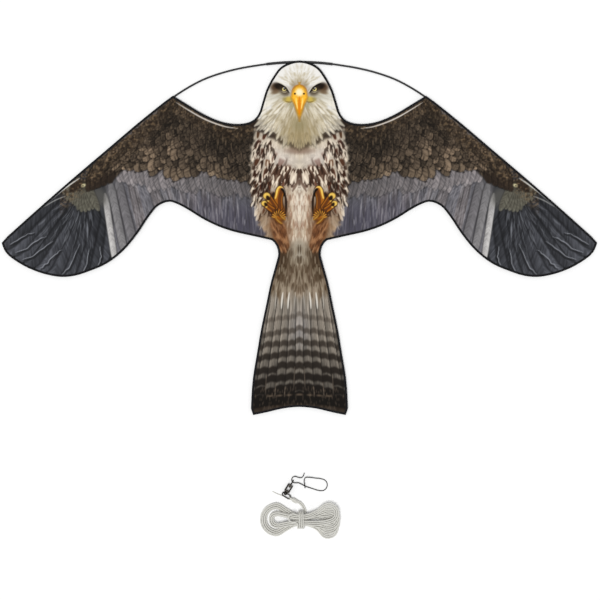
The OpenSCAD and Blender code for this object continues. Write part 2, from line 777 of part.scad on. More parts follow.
snap_lock_knots = concat(
    [for (a = lock_turns) snap_bow(a)],
    [for (q = lock_shares) snap_flat(q) + [0, 0, q.z * snap_lift]]
);
module snap_wire() {
    color("dimgray") snap_place()
        sweep(concat(curve(snap_wire_knots, snap_steps), [last(snap_wire_knots)]), snap_r, snap_sides);
}
module snap_lock() {
    color("dimgray") snap_place()
        sweep(concat(curve(snap_lock_knots, snap_steps), [last(snap_lock_knots)]), snap_r, snap_sides);
}

sail_body();
head_binding();
tail_binding();
spar_ferrule();
left_rod_butt();
right_rod_butt();
head_tab();
spine_rod();
spine_head_cap();
spine_tail_cap();
spine_head_pocket();
spine_tail_pocket();
spine_loops();
tow_tab();
tow_eyelet();
left_wing_sail();
left_wing_binding();
left_spar_rod();
left_spar_sleeve();
left_spar_cap();
left_tip_pocket();
right_wing_sail();
right_wing_binding();
right_spar_rod();
right_spar_sleeve();
right_spar_cap();
right_tip_pocket();
line_hank();
line_wrap();
line_lead();
line_knot();
line_ring();
swivel_frame();
swivel_eye();
snap_wire();
snap_lock();
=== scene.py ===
"""Dresses the bird scarer kite: printed sail, edge tape, spars, tow point, line and snap swivel."""

import math

import bpy
import numpy as np
from bpy.props import FloatProperty, FloatVectorProperty, IntProperty, PointerProperty
from mathutils.kdtree import KDTree
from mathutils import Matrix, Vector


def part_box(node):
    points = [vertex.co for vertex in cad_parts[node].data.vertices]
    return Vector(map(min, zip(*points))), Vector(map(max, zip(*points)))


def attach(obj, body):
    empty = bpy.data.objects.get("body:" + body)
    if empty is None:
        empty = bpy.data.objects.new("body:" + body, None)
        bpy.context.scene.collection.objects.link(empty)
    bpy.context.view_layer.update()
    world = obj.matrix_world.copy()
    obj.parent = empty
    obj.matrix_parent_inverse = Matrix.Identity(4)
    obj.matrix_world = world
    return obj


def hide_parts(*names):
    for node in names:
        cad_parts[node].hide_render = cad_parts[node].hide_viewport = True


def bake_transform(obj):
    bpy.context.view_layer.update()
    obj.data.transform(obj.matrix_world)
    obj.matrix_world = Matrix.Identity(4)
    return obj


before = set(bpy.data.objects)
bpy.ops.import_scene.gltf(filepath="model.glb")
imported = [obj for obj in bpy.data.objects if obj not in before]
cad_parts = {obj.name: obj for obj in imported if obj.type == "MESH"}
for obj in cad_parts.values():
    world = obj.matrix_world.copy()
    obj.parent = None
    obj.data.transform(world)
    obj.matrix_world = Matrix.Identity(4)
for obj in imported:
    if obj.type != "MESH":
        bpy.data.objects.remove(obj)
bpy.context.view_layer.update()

bl_info = {
    "name": "Bird Scarer Kite",
    "version": (1, 0, 0),
    "blender": (4, 5, 0),
    "location": "View3D > Sidebar > Kite",
    "description": "Dresses a bird of prey kite with its hanked line and snap swivel",
    "category": "Object",
}

MM = 0.001
# Levels of the rods, the tape and the cloth above the surface, in millimetres
ROD_Z, TAPE_LOW, CLOTH_LOW, CLOTH_TOP, TAPE_TOP = 2.75, 5.55, 5.85, 6.25, 6.55
# Radii of the rods, the sleeves and the spine's webbing, outside and inside, and the width of a loop
ROD_R, SLEEVE_R, POCKET_R, POCKET_BORE, LOOP_WIDE = 1.75, 2.7, 2.75, 2.38, 12
# The ends of a tip pocket and of the sleeve before it, from the rod's end
POCKET_FROM, POCKET_TO, SLEEVE_TO = -24, 2.6, -24.3
# Where the finer mesh of the head starts, and a width that takes in half the tail
HEAD_FROM, TAIL_REACH = 70, 92
# The tape's steps along the edge, and how far its stitches lie from its inner edge
TAPE_STEP, STITCH_INSET = 3.0, 1.1
# Where the cloth starts and stops flexing, the wing's root line and the tail's bounds
FLEX_FROM, FLEX_TO, ROOT_X, TAIL_TOP, TAIL_HALF = 60.0, 110.0, 80.0, -60.0, 150.0
# The bow: its top, its radius over the head, and how far its rods lie below the top
BOW_TOP, BOW_R, BOW_INSET = 327.5, 495.0, 2.75
# The point of the layout that the camera looks straight down on, in metres
CAMERA_OVER = (0.0011, -0.115)
# The print is laid out in units of 1.847 mm, one pixel of the photograph, from its upper left corner
PRINT_UNIT, PRINT_AXIS, PRINT_ZERO, PRINT_SEED = 1.847, 299.4, 237.75, 11


def colour(name, note, value):
    """A colour setting."""
    return FloatVectorProperty(name=name, description=note, default=value, subtype="COLOR", size=3,
                               min=0, max=1)


def length(name, note, value):
    """A length setting, in metres."""
    return FloatProperty(name=name, description=note, default=value, unit="LENGTH", min=0)


class KitePrintSettings(bpy.types.PropertyGroup):
    covert: colour("Coverts", "Dark brown of the small wing feathers", (0.21, 0.17, 0.14))
    covert_edge: colour("Covert edges", "Tan at the ends of the small feathers", (0.47, 0.40, 0.32))
    secondary: colour("Secondaries", "Mauve grey of the inner flight feathers", (0.455, 0.445, 0.455))
    primary: colour("Primaries", "Slate of the outer flight feathers", (0.265, 0.27, 0.29))
    white: colour("White feathers", "Head and breast", (0.95, 0.94, 0.92))
    beak: colour("Beak", "Yellow of the beak", (0.97, 0.71, 0.19))
    feet: colour("Feet", "Orange of the feet", (0.76, 0.45, 0.13))
    streak: colour("Breast streaks", "Brown drops on the breast", (0.30, 0.20, 0.15))


class KiteSailSettings(bpy.types.PropertyGroup):
    head_pitch: length("Head pitch", "Mesh pitch over the head and breast", 0.96 * MM)
    sail_pitch: length("Sail pitch", "Mesh pitch over the rest", 1.15 * MM)
    ripple: length("Ripple", "Height of the slack in the cloth", 0.9 * MM)
    weave: length("Thread pitch", "Distance from thread to thread", 0.36 * MM)
    ripstop: length("Ripstop pitch", "Distance between the heavy threads", 5.0 * MM)
    show_through: FloatProperty(name="Show through", description="Print seen from the back",
                                default=0.72, min=0, max=1)


class KiteTapeSettings(bpy.types.PropertyGroup):
    overlap: length("Overlap", "Width of the tape on the cloth", 3.65 * MM)
    stitch: length("Stitch", "Length of one stitch", 2.0 * MM)
    stitch_pitch: length("Stitch pitch", "Distance from stitch to stitch", 2.9 * MM)
    thread: length("Thread", "Diameter of the sewing thread", 0.28 * MM)
    black: colour("Tape", "Black of the tape", (0.008, 0.008, 0.009))


class KiteLineSettings(bpy.types.PropertyGroup):
    diameter: length("Diameter", "Diameter of the line", 2.6 * MM)
    braid: length("Braid pitch", "Length of one braid repeat", 2.2 * MM)
    sides: IntProperty(name="Sides", description="Sides of the line's tube", default=12, min=6, max=24)
    white: colour("Line", "White of the line", (0.68, 0.67, 0.62))
    nickel: colour("Black nickel", "Plating of the snap swivel", (0.018, 0.016, 0.014))


class KiteStageSettings(bpy.types.PropertyGroup):
    height: length("Camera height", "Camera above the kite", 3.084)
    lens: FloatProperty(name="Lens", description="Focal length in millimetres", default=100.0, min=1)
    sky: FloatProperty(name="Sky", description="Strength of the even light", default=0.42, min=0)
    lamp: FloatProperty(name="Lamp", description="Strength of the slanting light", default=2.0, min=0)


def settings(kind):
    """The scene's settings of one kind."""
    return getattr(bpy.context.scene, "kite_" + kind)


# Mesh helpers


def piece(name, verts, faces, material, smooth=True, uv=None):
    """A new mesh object at the origin, with its place in its mesh."""
    mesh = bpy.data.meshes.new(name)
    mesh.from_pydata(np.asarray(verts, float).tolist(), [], [list(f) for f in faces])
    if uv is not None:
        layer = mesh.uv_layers.new(name="UVMap")
        loops = np.empty(len(mesh.loops), np.int32)
        mesh.loops.foreach_get("vertex_index", loops)
        layer.data.foreach_set("uv", np.asarray(uv, np.float32)[loops].ravel())
    mesh.polygons.foreach_set("use_smooth", [smooth] * len(mesh.polygons))
    mesh.materials.append(material)
    mesh.validate()
    obj = bpy.data.objects.new(name, mesh)
    bpy.context.scene.collection.objects.link(obj)
    return obj


def merged(*parts):
    """Several (verts, faces) as one."""
    verts, faces, start = [], [], 0
    for v, f in parts:
        verts.append(np.asarray(v, float))
        faces += [[i + start for i in q] for q in f]
        start += len(v)
    return np.concatenate(verts), faces


def ring_faces(n, m, caps=True):
    """Quads between n rings of m points, and a face on each end."""
    faces = [[i * m + k, i * m + (k + 1) % m, (i + 1) * m + (k + 1) % m, (i + 1) * m + k]
             for i in range(n - 1) for k in range(m)]
    if caps:
        faces += [list(range(m))[::-1], [(n - 1) * m + k for k in range(m)]]
    return faces


def frames(points):
    """Directions along a path and two normals that don't twist."""
    p = np.asarray(points, float)
    t = np.gradient(p, axis=0)
    t /= np.linalg.norm(t, axis=1)[:, None]
    n = np.empty_like(t)
    seed = np.array([0.0, 0.0, 1.0]) if abs(t[0][2]) < 0.9 else np.array([1.0, 0.0, 0.0])
    n[0] = seed - t[0] * (seed @ t[0])
    for i in range(1, len(p)):
        n[i] = n[i - 1] - t[i] * (n[i - 1] @ t[i])
        n[i] /= np.linalg.norm(n[i])
    n[0] /= np.linalg.norm(n[0])
    return t, n, np.cross(t, n)


def tube(points, radius, sides, ends="round"):
    """A round tube along a path, as verts, faces and the length and turn of each point."""
    p = np.asarray(points, float)
    t, n, b = frames(p)
    r = np.broadcast_to(np.asarray(radius, float), (len(p),)).copy()
    run = np.concatenate([[0], np.cumsum(np.linalg.norm(np.diff(p, axis=0), axis=1))])
    if ends == "round":
        head = [p[0] - t[0] * r[0] * k for k in (0.85, 0.5)]
        foot = [p[-1] + t[-1] * r[-1] * k for k in (0.5, 0.85)]
        p = np.vstack([head, p, foot])
        t, n, b = (np.pad(x, ((2, 2), (0, 0)), "edge") for x in (t, n, b))
        r = np.concatenate([[r[0] * 0.5, r[0] * 0.87], r, [r[-1] * 0.87, r[-1] * 0.5]])
        run = np.pad(run, 2, "edge")
    a = np.linspace(0, 2 * math.pi, sides, endpoint=False)
    ring = np.cos(a)[None, :, None] * n[:, None] + np.sin(a)[None, :, None] * b[:, None]
    verts = (p[:, None] + r[:, None, None] * ring).reshape(-1, 3)
    uv = np.stack([np.repeat(run, sides), np.tile(np.arange(sides) / sides, len(p))], 1)
    return verts, ring_faces(len(p), sides), uv


def smooth_path(knots, n):
    """A smooth curve through knots: headings by chord length, then cubic steps."""
    p = np.asarray(knots, float)
    c = np.linalg.norm(np.diff(p, axis=0), axis=1)[:, None]
    rate = np.diff(p, axis=0) / c
    h = np.empty_like(p)
    h[1:-1] = (rate[:-1] * c[1:] + rate[1:] * c[:-1]) / (c[:-1] + c[1:])
    h[0], h[-1] = (3 * rate[0] - h[1]) / 2, (3 * rate[-1] - h[-2]) / 2
    t = (np.arange(n) / n)[None, :, None]
    a, b, ha, hb, cc = p[:-1, None], p[1:, None], h[:-1, None], h[1:, None], c[:, None]
    q = (1 + 2 * t) * (1 - t) ** 2 * a + t * (1 - t) ** 2 * cc * ha
    q = q + t * t * (3 - 2 * t) * b - t * t * (1 - t) * cc * hb
    return np.vstack([q.reshape(-1, p.shape[1]), p[-1:]])


def ease(t):
    """A smooth step from 0 to 1."""
    c = np.clip(t, 0, 1)
    return c * c * (3 - 2 * c)


def noise(x, y, cell, seed=0):
    """Smooth value noise from 0 to 1 on a grid of that cell."""
    gx, gy = x / cell, y / cell
    ix, iy = np.floor(gx), np.floor(gy)
    fx, fy = ease(gx - ix), ease(gy - iy)

    def at(a, b):
        h = np.sin(a * 127.1 + b * 311.7 + seed * 74.7) * 43758.5453
        return h - np.floor(h)

    low = at(ix, iy) * (1 - fx) + at(ix + 1, iy) * fx
    high = at(ix, iy + 1) * (1 - fx) + at(ix + 1, iy + 1) * fx
    return low * (1 - fy) + high * fy


# Node groups and materials


def node_group(name, inputs, outputs):
    """A new shader group with its sockets."""
    tree = bpy.data.node_groups.new(name, "ShaderNodeTree")
    for label, kind, value in inputs:
        socket = tree.interface.new_socket(label, in_out="INPUT", socket_type=kind)
        if value is not None:
            socket.default_value = value
    for label, kind in outputs:
        tree.interface.new_socket(label, in_out="OUTPUT", socket_type=kind)
    return tree, tree.nodes.new("NodeGroupInput"), tree.nodes.new("NodeGroupOutput")


def math_node(tree, operation, a, b=None, c=None):
    """The output of a math node that is fed with numbers or sockets."""
    node = tree.nodes.new("ShaderNodeMath")
    node.operation = operation
    for socket, value in zip(node.inputs, (a, b, c)):
        if value is None:
            continue
        if isinstance(value, (int, float)):
            socket.default_value = value
        else:
            tree.links.new(value, socket)
    return node.outputs[0]


def weave_group():
    """Plain weave with heavier threads at a coarse pitch, as a height and a tint; the tint is painted light
    and shade that follows the height, lighter on the raised and heavy threads and darker between them.
    """
    tree, given, out = node_group(
        "ripstop_weave",
        [("Vector", "NodeSocketVector", None), ("Thread", "NodeSocketFloat", 0.00036),
         ("Heavy", "NodeSocketFloat", 0.005)],
        [("Height", "NodeSocketFloat"), ("Tint", "NodeSocketFloat")],
    )
    split = tree.nodes.new("ShaderNodeSeparateXYZ")
    tree.links.new(given.outputs["Vector"], split.inputs[0])
    waves, ribs = [], []
    for axis in ("X", "Y"):
        turn = math_node(tree, "DIVIDE", split.outputs[axis], given.outputs["Thread"])
        waves.append(math_node(tree, "SINE", math_node(tree, "MULTIPLY", turn, 2 * math.pi)))
        step = math_node(tree, "DIVIDE", split.outputs[axis], given.outputs["Heavy"])
        far = math_node(tree, "PINGPONG", step, 0.5)
        ribs.append(math_node(tree, "SMOOTH_MIN", math_node(tree, "LESS_THAN", far, 0.05), 1.0, 0.1))
    cloth = math_node(tree, "MULTIPLY", *waves)
    rib = math_node(tree, "MAXIMUM", *ribs)
    tree.links.new(math_node(tree, "MULTIPLY_ADD", rib, 1.2, cloth), out.inputs["Height"])
    # Painted light and shade: the tint rises and falls with the weave's height, and the heavy threads are
    # painted lighter.
    tint = math_node(tree, "MULTIPLY_ADD", cloth, 0.03, 0.985)
    tree.links.new(math_node(tree, "MULTIPLY_ADD", rib, 0.025, tint), out.inputs["Tint"])
    return tree


def wear_group():
    """Uneven finish: a soft blotch and a fine grain, as a tint, a roughness shift and a height."""
    tree, given, out = node_group(
        "surface_wear",
        [("Vector", "NodeSocketVector", None), ("Blotch", "NodeSocketFloat", 60.0),
         ("Grain", "NodeSocketFloat", 900.0)],
        [("Tint", "NodeSocketFloat"), ("Rough", "NodeSocketFloat"), ("Height", "NodeSocketFloat")],
    )
    found = []
    for label, detail in (("Blotch", 3.0), ("Grain", 2.0)):
        tex = tree.nodes.new("ShaderNodeTexNoise")
        tex.inputs["Detail"].default_value = detail
        tree.links.new(given.outputs["Vector"], tex.inputs["Vector"])
        tree.links.new(given.outputs[label], tex.inputs["Scale"])
        found.append(tex.outputs[0])
    tree.links.new(math_node(tree, "MULTIPLY_ADD", found[0], 0.5, 0.75), out.inputs["Tint"])
    tree.links.new(math_node(tree, "MULTIPLY_ADD", found[0], 0.24, -0.12), out.inputs["Rough"])
    tree.links.new(found[1], out.inputs["Height"])
    return tree


def braid_group():
    """Crossing strands of a braided line, from its length and its turn, as a height and a tint; the tint is
    painted shade, darker in the grooves between the strands.
    """
    tree, given, out = node_group(
        "braided_line",
        [("Vector", "NodeSocketVector", None), ("Pitch", "NodeSocketFloat", 0.0022),
         ("Strands", "NodeSocketFloat", 4.0)],
        [("Height", "NodeSocketFloat"), ("Tint", "NodeSocketFloat")],
    )
    split = tree.nodes.new("ShaderNodeSeparateXYZ")
    tree.links.new(given.outputs["Vector"], split.inputs[0])
    run = math_node(tree, "DIVIDE", split.outputs["X"], given.outputs["Pitch"])
    turn = math_node(tree, "MULTIPLY", split.outputs["Y"], given.outputs["Strands"])
    hands = []
    for hand in ("ADD", "SUBTRACT"):
        strand = math_node(tree, "MULTIPLY", math_node(tree, hand, turn, run), 2 * math.pi)
        hands.append(math_node(tree, "MULTIPLY_ADD", math_node(tree, "SINE", strand), 0.5, 0.5))
    height = math_node(tree, "MAXIMUM", *hands)
    tree.links.new(height, out.inputs["Height"])
    # Painted shade: the tint follows the strands' height, darker down in the grooves.
    tree.links.new(math_node(tree, "MULTIPLY_ADD", height, 0.22, 0.80), out.inputs["Tint"])
    return tree


def shader(name):
    """A material with its Principled node and its tree."""
    mat = bpy.data.materials.new(name)
    mat.use_nodes = True
    return mat, mat.node_tree, mat.node_tree.nodes["Principled BSDF"]


def group_node(tree, group, vector, **values):
    """A group set in a material's tree."""
    node = tree.nodes.new("ShaderNodeGroup")
    node.node_tree = group
    tree.links.new(vector, node.inputs["Vector"])
    for label, value in values.items():
        node.inputs[label].default_value = value
    return node


def tinted(tree, bsdf, base, factor):
    """Base colour times a factor."""
    mix = tree.nodes.new("ShaderNodeMix")
    mix.data_type, mix.blend_type = "RGBA", "MULTIPLY"
    mix.inputs["Factor"].default_value = 1.0
    if isinstance(base, tuple):
        mix.inputs[6].default_value = (*base, 1)
    else:
        tree.links.new(base, mix.inputs[6])
    tree.links.new(factor, mix.inputs[7])
    tree.links.new(mix.outputs[2], bsdf.inputs["Base Color"])


def bumped(tree, bsdf, height, strength, distance):
    """A fine relief from a height."""
    bump = tree.nodes.new("ShaderNodeBump")
    bump.inputs["Strength"].default_value = strength
    bump.inputs["Distance"].default_value = distance
    tree.links.new(height, bump.inputs["Height"])
    tree.links.new(bump.outputs["Normal"], bsdf.inputs["Normal"])


def finish(name, base, rough, group="wear", metallic=0.0, bump=0.3, depth=0.00005,
           gloss=0.3, rim=1.0, **values):
    """A finish of one colour with uneven tint, roughness and a fine relief."""
    mat, tree, bsdf = shader(name)
    coords = tree.nodes.new("ShaderNodeTexCoord")
    worn = group_node(tree, GROUPS["wear"], coords.outputs["Object"], **(values if group == "wear" else {}))
    tinted(tree, bsdf, tuple(base), worn.outputs["Tint"])
    tree.links.new(math_node(tree, "ADD", worn.outputs["Rough"], rough), bsdf.inputs["Roughness"])
    relief = worn.outputs["Height"]
    if group == "weave":
        relief = group_node(tree, GROUPS["weave"], coords.outputs["Object"], **values).outputs["Height"]
    bumped(tree, bsdf, relief, bump, depth)
    bsdf.inputs["Metallic"].default_value = metallic
    bsdf.inputs["Specular IOR Level"].default_value = gloss
    bsdf.inputs["Specular Tint"].default_value = (rim, rim, rim, 1.0)
    return mat


GROUPS, FINISHES = {}, {}


def make_finishes():
    """The shared groups and the finishes of every piece."""
    GROUPS.update(weave=weave_group(), wear=wear_group(), braid=braid_group())
    sail, tape, line = settings("sail"), settings("tape"), settings("line")
    mat, tree, bsdf = shader("printed_polyester")
    coords = tree.nodes.new("ShaderNodeTexCoord")
    weave = group_node(tree, GROUPS["weave"], coords.outputs["Object"], Thread=sail.weave,
                       Heavy=sail.ripstop)
    ink = tree.nodes.new("ShaderNodeVertexColor")
    ink.layer_name = "print"
    # The weave's tint lays its painted light and shade of the threads over the print.
    tinted(tree, bsdf, ink.outputs["Color"], weave.outputs["Tint"])
    bumped(tree, bsdf, weave.outputs["Height"], 0.25, 0.00004)
    bsdf.inputs["Roughness"].default_value = 0.75
    bsdf.inputs["Specular IOR Level"].default_value = 0.06
    FINISHES["sail"] = mat
    black = tuple(tape.black)
    FINISHES["tape"] = finish("edge_tape_cloth", black, 0.75, "weave", bump=0.35, gloss=0.06,
                              Thread=0.0005, Heavy=0.004)
    FINISHES["thread"] = finish("sewing_thread", (0.03, 0.03, 0.032), 0.6, gloss=0.15, Grain=2500.0)
    FINISHES["rod"] = finish("fibreglass_rod", (0.010, 0.010, 0.011), 0.42, gloss=0.2, Grain=1400.0)
    FINISHES["plastic"] = finish("moulded_plastic", (0.03, 0.03, 0.032), 0.45, Grain=1800.0)
    FINISHES["webbing"] = finish("tow_webbing", (0.035, 0.035, 0.038), 0.7, "weave", bump=0.6,
                                 depth=0.0001, Thread=0.0009, Heavy=0.0027)
    FINISHES["eyelet"] = finish("eyelet_brass", (0.62, 0.60, 0.56), 0.26, metallic=1.0, bump=0.1,
                                Blotch=220.0)
    FINISHES["nickel"] = finish("black_nickel", tuple(line.nickel), 0.34, metallic=1.0, bump=0.12,
                                rim=0.25, Blotch=300.0, Grain=2600.0)
    mat, tree, bsdf = shader("braided_line")
    uv = tree.nodes.new("ShaderNodeUVMap")
    uv.uv_map = "UVMap"
    braid = group_node(tree, GROUPS["braid"], uv.outputs[0], Pitch=line.braid)
    # The braid's tint lays painted shade in the grooves over the line's white.
    tinted(tree, bsdf, tuple(line.white), braid.outputs["Tint"])
    bumped(tree, bsdf, braid.outputs["Height"], 0.5, 0.0002)
    bsdf.inputs["Roughness"].default_value = 0.6
    bsdf.inputs["Sheen Weight"].default_value = 0.1
    FINISHES["line"] = mat


def dress(node, finish_name):
    """A CAD node that stays takes a finish."""
    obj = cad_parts[node]
    obj.data.materials.clear()
    obj.data.materials.append(FINISHES[finish_name])


# The kite's outline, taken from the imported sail


def node_loop(name):
    """The outline of a flat node's upper face, in millimetres."""
    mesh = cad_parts[name].data
    co = np.array([v.co for v in mesh.vertices]) / MM
    top = co[:, 2].max() - 0.05
    ends = {}
    for p in mesh.polygons:
        ids = list(p.vertices)
        if all(co[i][2] > top for i in ids):
            for a, b in zip(ids, ids[1:] + ids[:1]):
                ends[tuple(np.round(co[a][:2], 3)), tuple(np.round(co[b][:2], 3))] = True
    after = {a: b for a, b in ends if (b, a) not in ends}
    start = next(iter(after))
    loop = [start]
    while after[loop[-1]] != start:
        loop.append(after[loop[-1]])
    return np.array(loop)


def open_chains(loop):
    """The loop without its edges along a root line."""
    n = len(loop)
    cut = [
        abs(loop[i][0] - loop[(i + 1) % n][0]) < 1e-2
        and abs(abs(loop[i][0]) - ROOT_X) < 1
        and abs(loop[i][1] - loop[(i + 1) % n][1]) > 20
        for i in range(n)
    ]
    chains, first = [], next(i for i in range(n) if cut[i]) + 1
    chain = []
    for k in range(n):
        i = (first + k) % n
        chain.append(loop[i])
        if cut[i]:
            chains.append(np.array(chain))
            chain = []
    return chains


def sail_edge():
    """The whole cloth's edge as one closed run, clear of the root lines."""
    chains = []
    for name in ("sail_body", "left_wing_sail", "right_wing_sail"):
        chains += open_chains(node_loop(name))
    edge = chains.pop(0)
    while chains:
        gaps = [np.linalg.norm(c[0] - edge[-1]) for c in chains]
        edge = np.vstack([edge, chains.pop(int(np.argmin(gaps)))])
    keep = np.linalg.norm(edge - np.roll(edge, 1, axis=0), axis=1) > 0.05
    return edge[keep]


def offset(loop, d):
    """A closed run moved inwards by d, mitred at its corners."""
    area = 0.5 * np.sum(loop[:, 0] * np.roll(loop[:, 1], -1) - loop[:, 1] * np.roll(loop[:, 0], -1))
    side = 1 if area > 0 else -1
    e = np.roll(loop, -1, axis=0) - loop
    e /= np.linalg.norm(e, axis=1)[:, None]
    n = side * np.stack([-e[:, 1], e[:, 0]], 1)
    m = np.roll(n, 1, axis=0)
    share = np.maximum(1 + np.sum(n * m, axis=1), 0.35)
    return loop + d * (n + m) / share[:, None]


def on_wing(x, y):
    """Points of the cloth outside the flexing line, without the tail."""
    return (np.abs(x) >= FLEX_FROM - 1e-6) & ((y > TAIL_TOP) | (np.abs(x) > TAIL_HALF))


def in_middle(x, y):
    """Points of the cloth within the flexing lines, and of the tail."""
    return (np.abs(x) <= FLEX_FROM + 1e-6) | ((y < TAIL_TOP) & (np.abs(x) < TAIL_HALF))


def inside(loop, x, y):
    """Points within a closed run."""
    found = np.zeros(x.shape, bool)
    for (x0, y0), (x1, y1) in zip(loop, np.roll(loop, -1, axis=0)):
        if y0 == y1:
            continue
        span = (y >= min(y0, y1)) & (y < max(y0, y1))
        found[span] ^= x[span] < x0 + (y[span] - y0) * (x1 - x0) / (y1 - y0)
    return found


# The print


def smooth_edge(value, soft=0.8):
    """1 where value is well above 0, 0 where it is well below."""
    return ease(value / soft * 0.5 + 0.5)


# The coarse grid that finds points: the size of a cell and the cells in a row
CELL, ROW = 8, 64
# The point between the eyes from which the head's feathers fan out, and the tail's feathers on each half
BROW, TAIL_LANES = np.array([PRINT_AXIS, 88.0]), 4.6
# Half width of the breast down the print
FLANK = ([128, 150, 175, 200, 225], [42, 46.5, 48.5, 46, 38])
# The wing's leading edge and the lower end of its coverts, across and down the print
LEADING_EDGE = ([60, 85, 110, 140, 173, 190, 205, 215, 225, 238, 250, 262],
                [198, 176, 154, 128, 99, 107, 116, 121, 125, 127, 122, 112])
COVERT_FOOT = ([84, 100, 116, 128, 140, 150, 160, 172, 186, 200, 220, 240, 262],
               [187, 183, 170, 172, 168, 178, 172, 179, 177, 173, 180, 183, 187])


class Plumage:
    """Paints feathers on scattered points of the cloth, mirrored about the middle."""

    def __init__(self, x, y):
        self.u = PRINT_AXIS - np.abs(x) / PRINT_UNIT
        self.v = PRINT_ZERO - y / PRINT_UNIT
        self.rgb = np.full((len(x), 3), 0.5)
        cell = self.v // CELL * ROW + self.u // CELL
        self.order = np.argsort(cell, kind="stable")
        self.cell = cell[self.order]

    def near(self, lo, hi, pad):
        """Points within a box, found by the cells of a coarse grid."""
        u0, u1, v0, v1 = lo[0] - pad, hi[0] + pad, lo[1] - pad, hi[1] + pad
        rows = np.arange(v0 // CELL, v1 // CELL + 1) * ROW
        first = np.searchsorted(self.cell, rows + max(u0 // CELL, 0), "left")
        last = np.searchsorted(self.cell, rows + min(u1 // CELL, ROW - 1), "right")
        found = np.concatenate([self.order[a:b] for a, b in zip(first, last)])
        u, v = self.u[found], self.v[found]
        return found[(u > u0) & (u < u1) & (v > v0) & (v < v1)]

    def lay(self, where, share, rgb):
        """Mixes a colour over points by a share."""
        held = self.rgb[where]
        self.rgb[where] = held + np.clip(share, 0, 1)[:, None] * (np.asarray(rgb) - held)

    def spot(self, centre, size, rgb, strength=1.0, turn=0.0, soft=0.5):
        """A soft elliptical patch."""
        reach = max(size) * 1.6
        where = self.near(centre, centre, reach)
        du, dv = self.u[where] - centre[0], self.v[where] - centre[1]
        c, s = math.cos(math.radians(turn)), math.sin(math.radians(turn))
        q = np.hypot((du * c + dv * s) / size[0], (-du * s + dv * c) / size[1])
        self.lay(where, strength * ease((1 + soft - q) / (2 * soft)), rgb)

    def streak(self, points, width, rgb, strength=1.0, taper=True):
        """A thin line through points that thins out at its ends."""
        path = smooth_path(points, 6) if len(points) > 2 else np.asarray(points, float)
        where = self.near(path.min(0), path.max(0), 2 * width + 1)
        best, share = np.full(len(where), 9e9), np.zeros(len(where))
        spot = np.stack([self.u[where], self.v[where]], 1)
        for i in range(len(path) - 1):
            d = path[i + 1] - path[i]
            t = np.clip((spot - path[i]) @ d / max(d @ d, 1e-9), 0, 1)
            far = np.linalg.norm(spot - path[i] - t[:, None] * d, axis=1)
            closer = far < best
            best[closer], share[closer] = far[closer], ((i + t) / (len(path) - 1))[closer]
        half = width * (np.sqrt(np.clip(4 * share * (1 - share), 0.02, 1)) if taper else 1)
        self.lay(where, strength * ease((half + 0.45 - best) / 0.9), rgb)

    def wisp(self, top, d, bend, width, rgb, strength):
        """A streak from the top along d, bent sideways in its middle."""
        self.streak([top, top + d * 0.5 + (bend, 0), top + d], width, rgb, strength)

    def marks(self, *rows):
        """Spots and streaks in turn; a streak's row starts with its list of points."""
        for row in rows:
            (self.streak if isinstance(row[0], list) else self.spot)(*row)

    def feather(self, root, tip, width, dark, pale, edge=None, rim=0.0, side=0, blunt=0.35, bend=0.0,
                core=None, core_share=0.45, shade=0.35, barb=1.0, roll=0.15, lift=0.25,
                seed=0):
        """One feather from its root to its tip, with barbs, a quill, a rim and a shadow under it."""
        root, tip = np.asarray(root, float), np.asarray(tip, float)
        dark, pale = np.asarray(dark), np.asarray(pale)
        axis = tip - root
        run = np.linalg.norm(axis)
        d = axis / run
        where = self.near(np.minimum(root, tip), np.maximum(root, tip), width * 1.7 + abs(bend) + 1)
        if not len(where):
            return
        p = np.stack([self.u[where], self.v[where]], 1) - root
        t = p @ d / run
        s = p[:, 0] * -d[1] + p[:, 1] * d[0] - bend * np.clip(t, 0, 1) ** 2
        flat = np.clip((t - (1 - blunt)) / blunt, 0, 1)
        half = width * np.sqrt(np.clip(t / 0.15, 0, 1)) * np.sqrt(np.clip(1 - flat**2, 0, 1))
        q = np.abs(s) - half
        self.lay(where, shade * ease(1 - q / (0.3 * width + 0.6)) * (t > 0) * (t < 1.08), dark * 0.45)
        body = smooth_edge(-q, 0.9) * (t > 0) * (t < 1.0)
        grain = noise(t * run - 1.1 * np.abs(s) + 40 * (s > 0), s * 0.25 + 7 * seed, 0.9 + 0.06 * width,
                      seed)
        tone = np.clip(0.35 + barb * 0.55 * (grain - 0.4) + 0.125 + lift * (t - 0.5) + roll * s / width,
                       0, 1)
        rgb = dark + tone[:, None] * (pale - dark)
        if core is not None:
            drop = smooth_edge(half * core_share - np.abs(s), 0.8)
            drop = drop * ease((t - 0.12) / 0.25) * ease((0.95 - t) / 0.2)
            rgb = rgb + drop[:, None] * (np.asarray(core) - rgb)
        if rim:
            lip = ease(1 - np.abs(q) / (0.18 * width + 0.5)) * (1 if side == 0 else (s * side > 0))
            rgb = rgb + (rim * lip * ease(t / 0.3))[:, None] * (np.asarray(edge) - rgb)
        quill = 0.25 * ease(1 - np.abs(s) / 0.5) * (1 - t)
        rgb = rgb + quill[:, None] * (pale - rgb)
        self.lay(where, body, rgb)


def paint_wings(cloth, ink, rng):
    """Flight feathers, coverts and the speckled leading edge."""
    paint_inner_flight(cloth, ink, rng)
    paint_outer_flight(cloth, ink, rng)
    paint_coverts(cloth, ink, rng)
    paint_leading_edge(cloth, ink, rng)


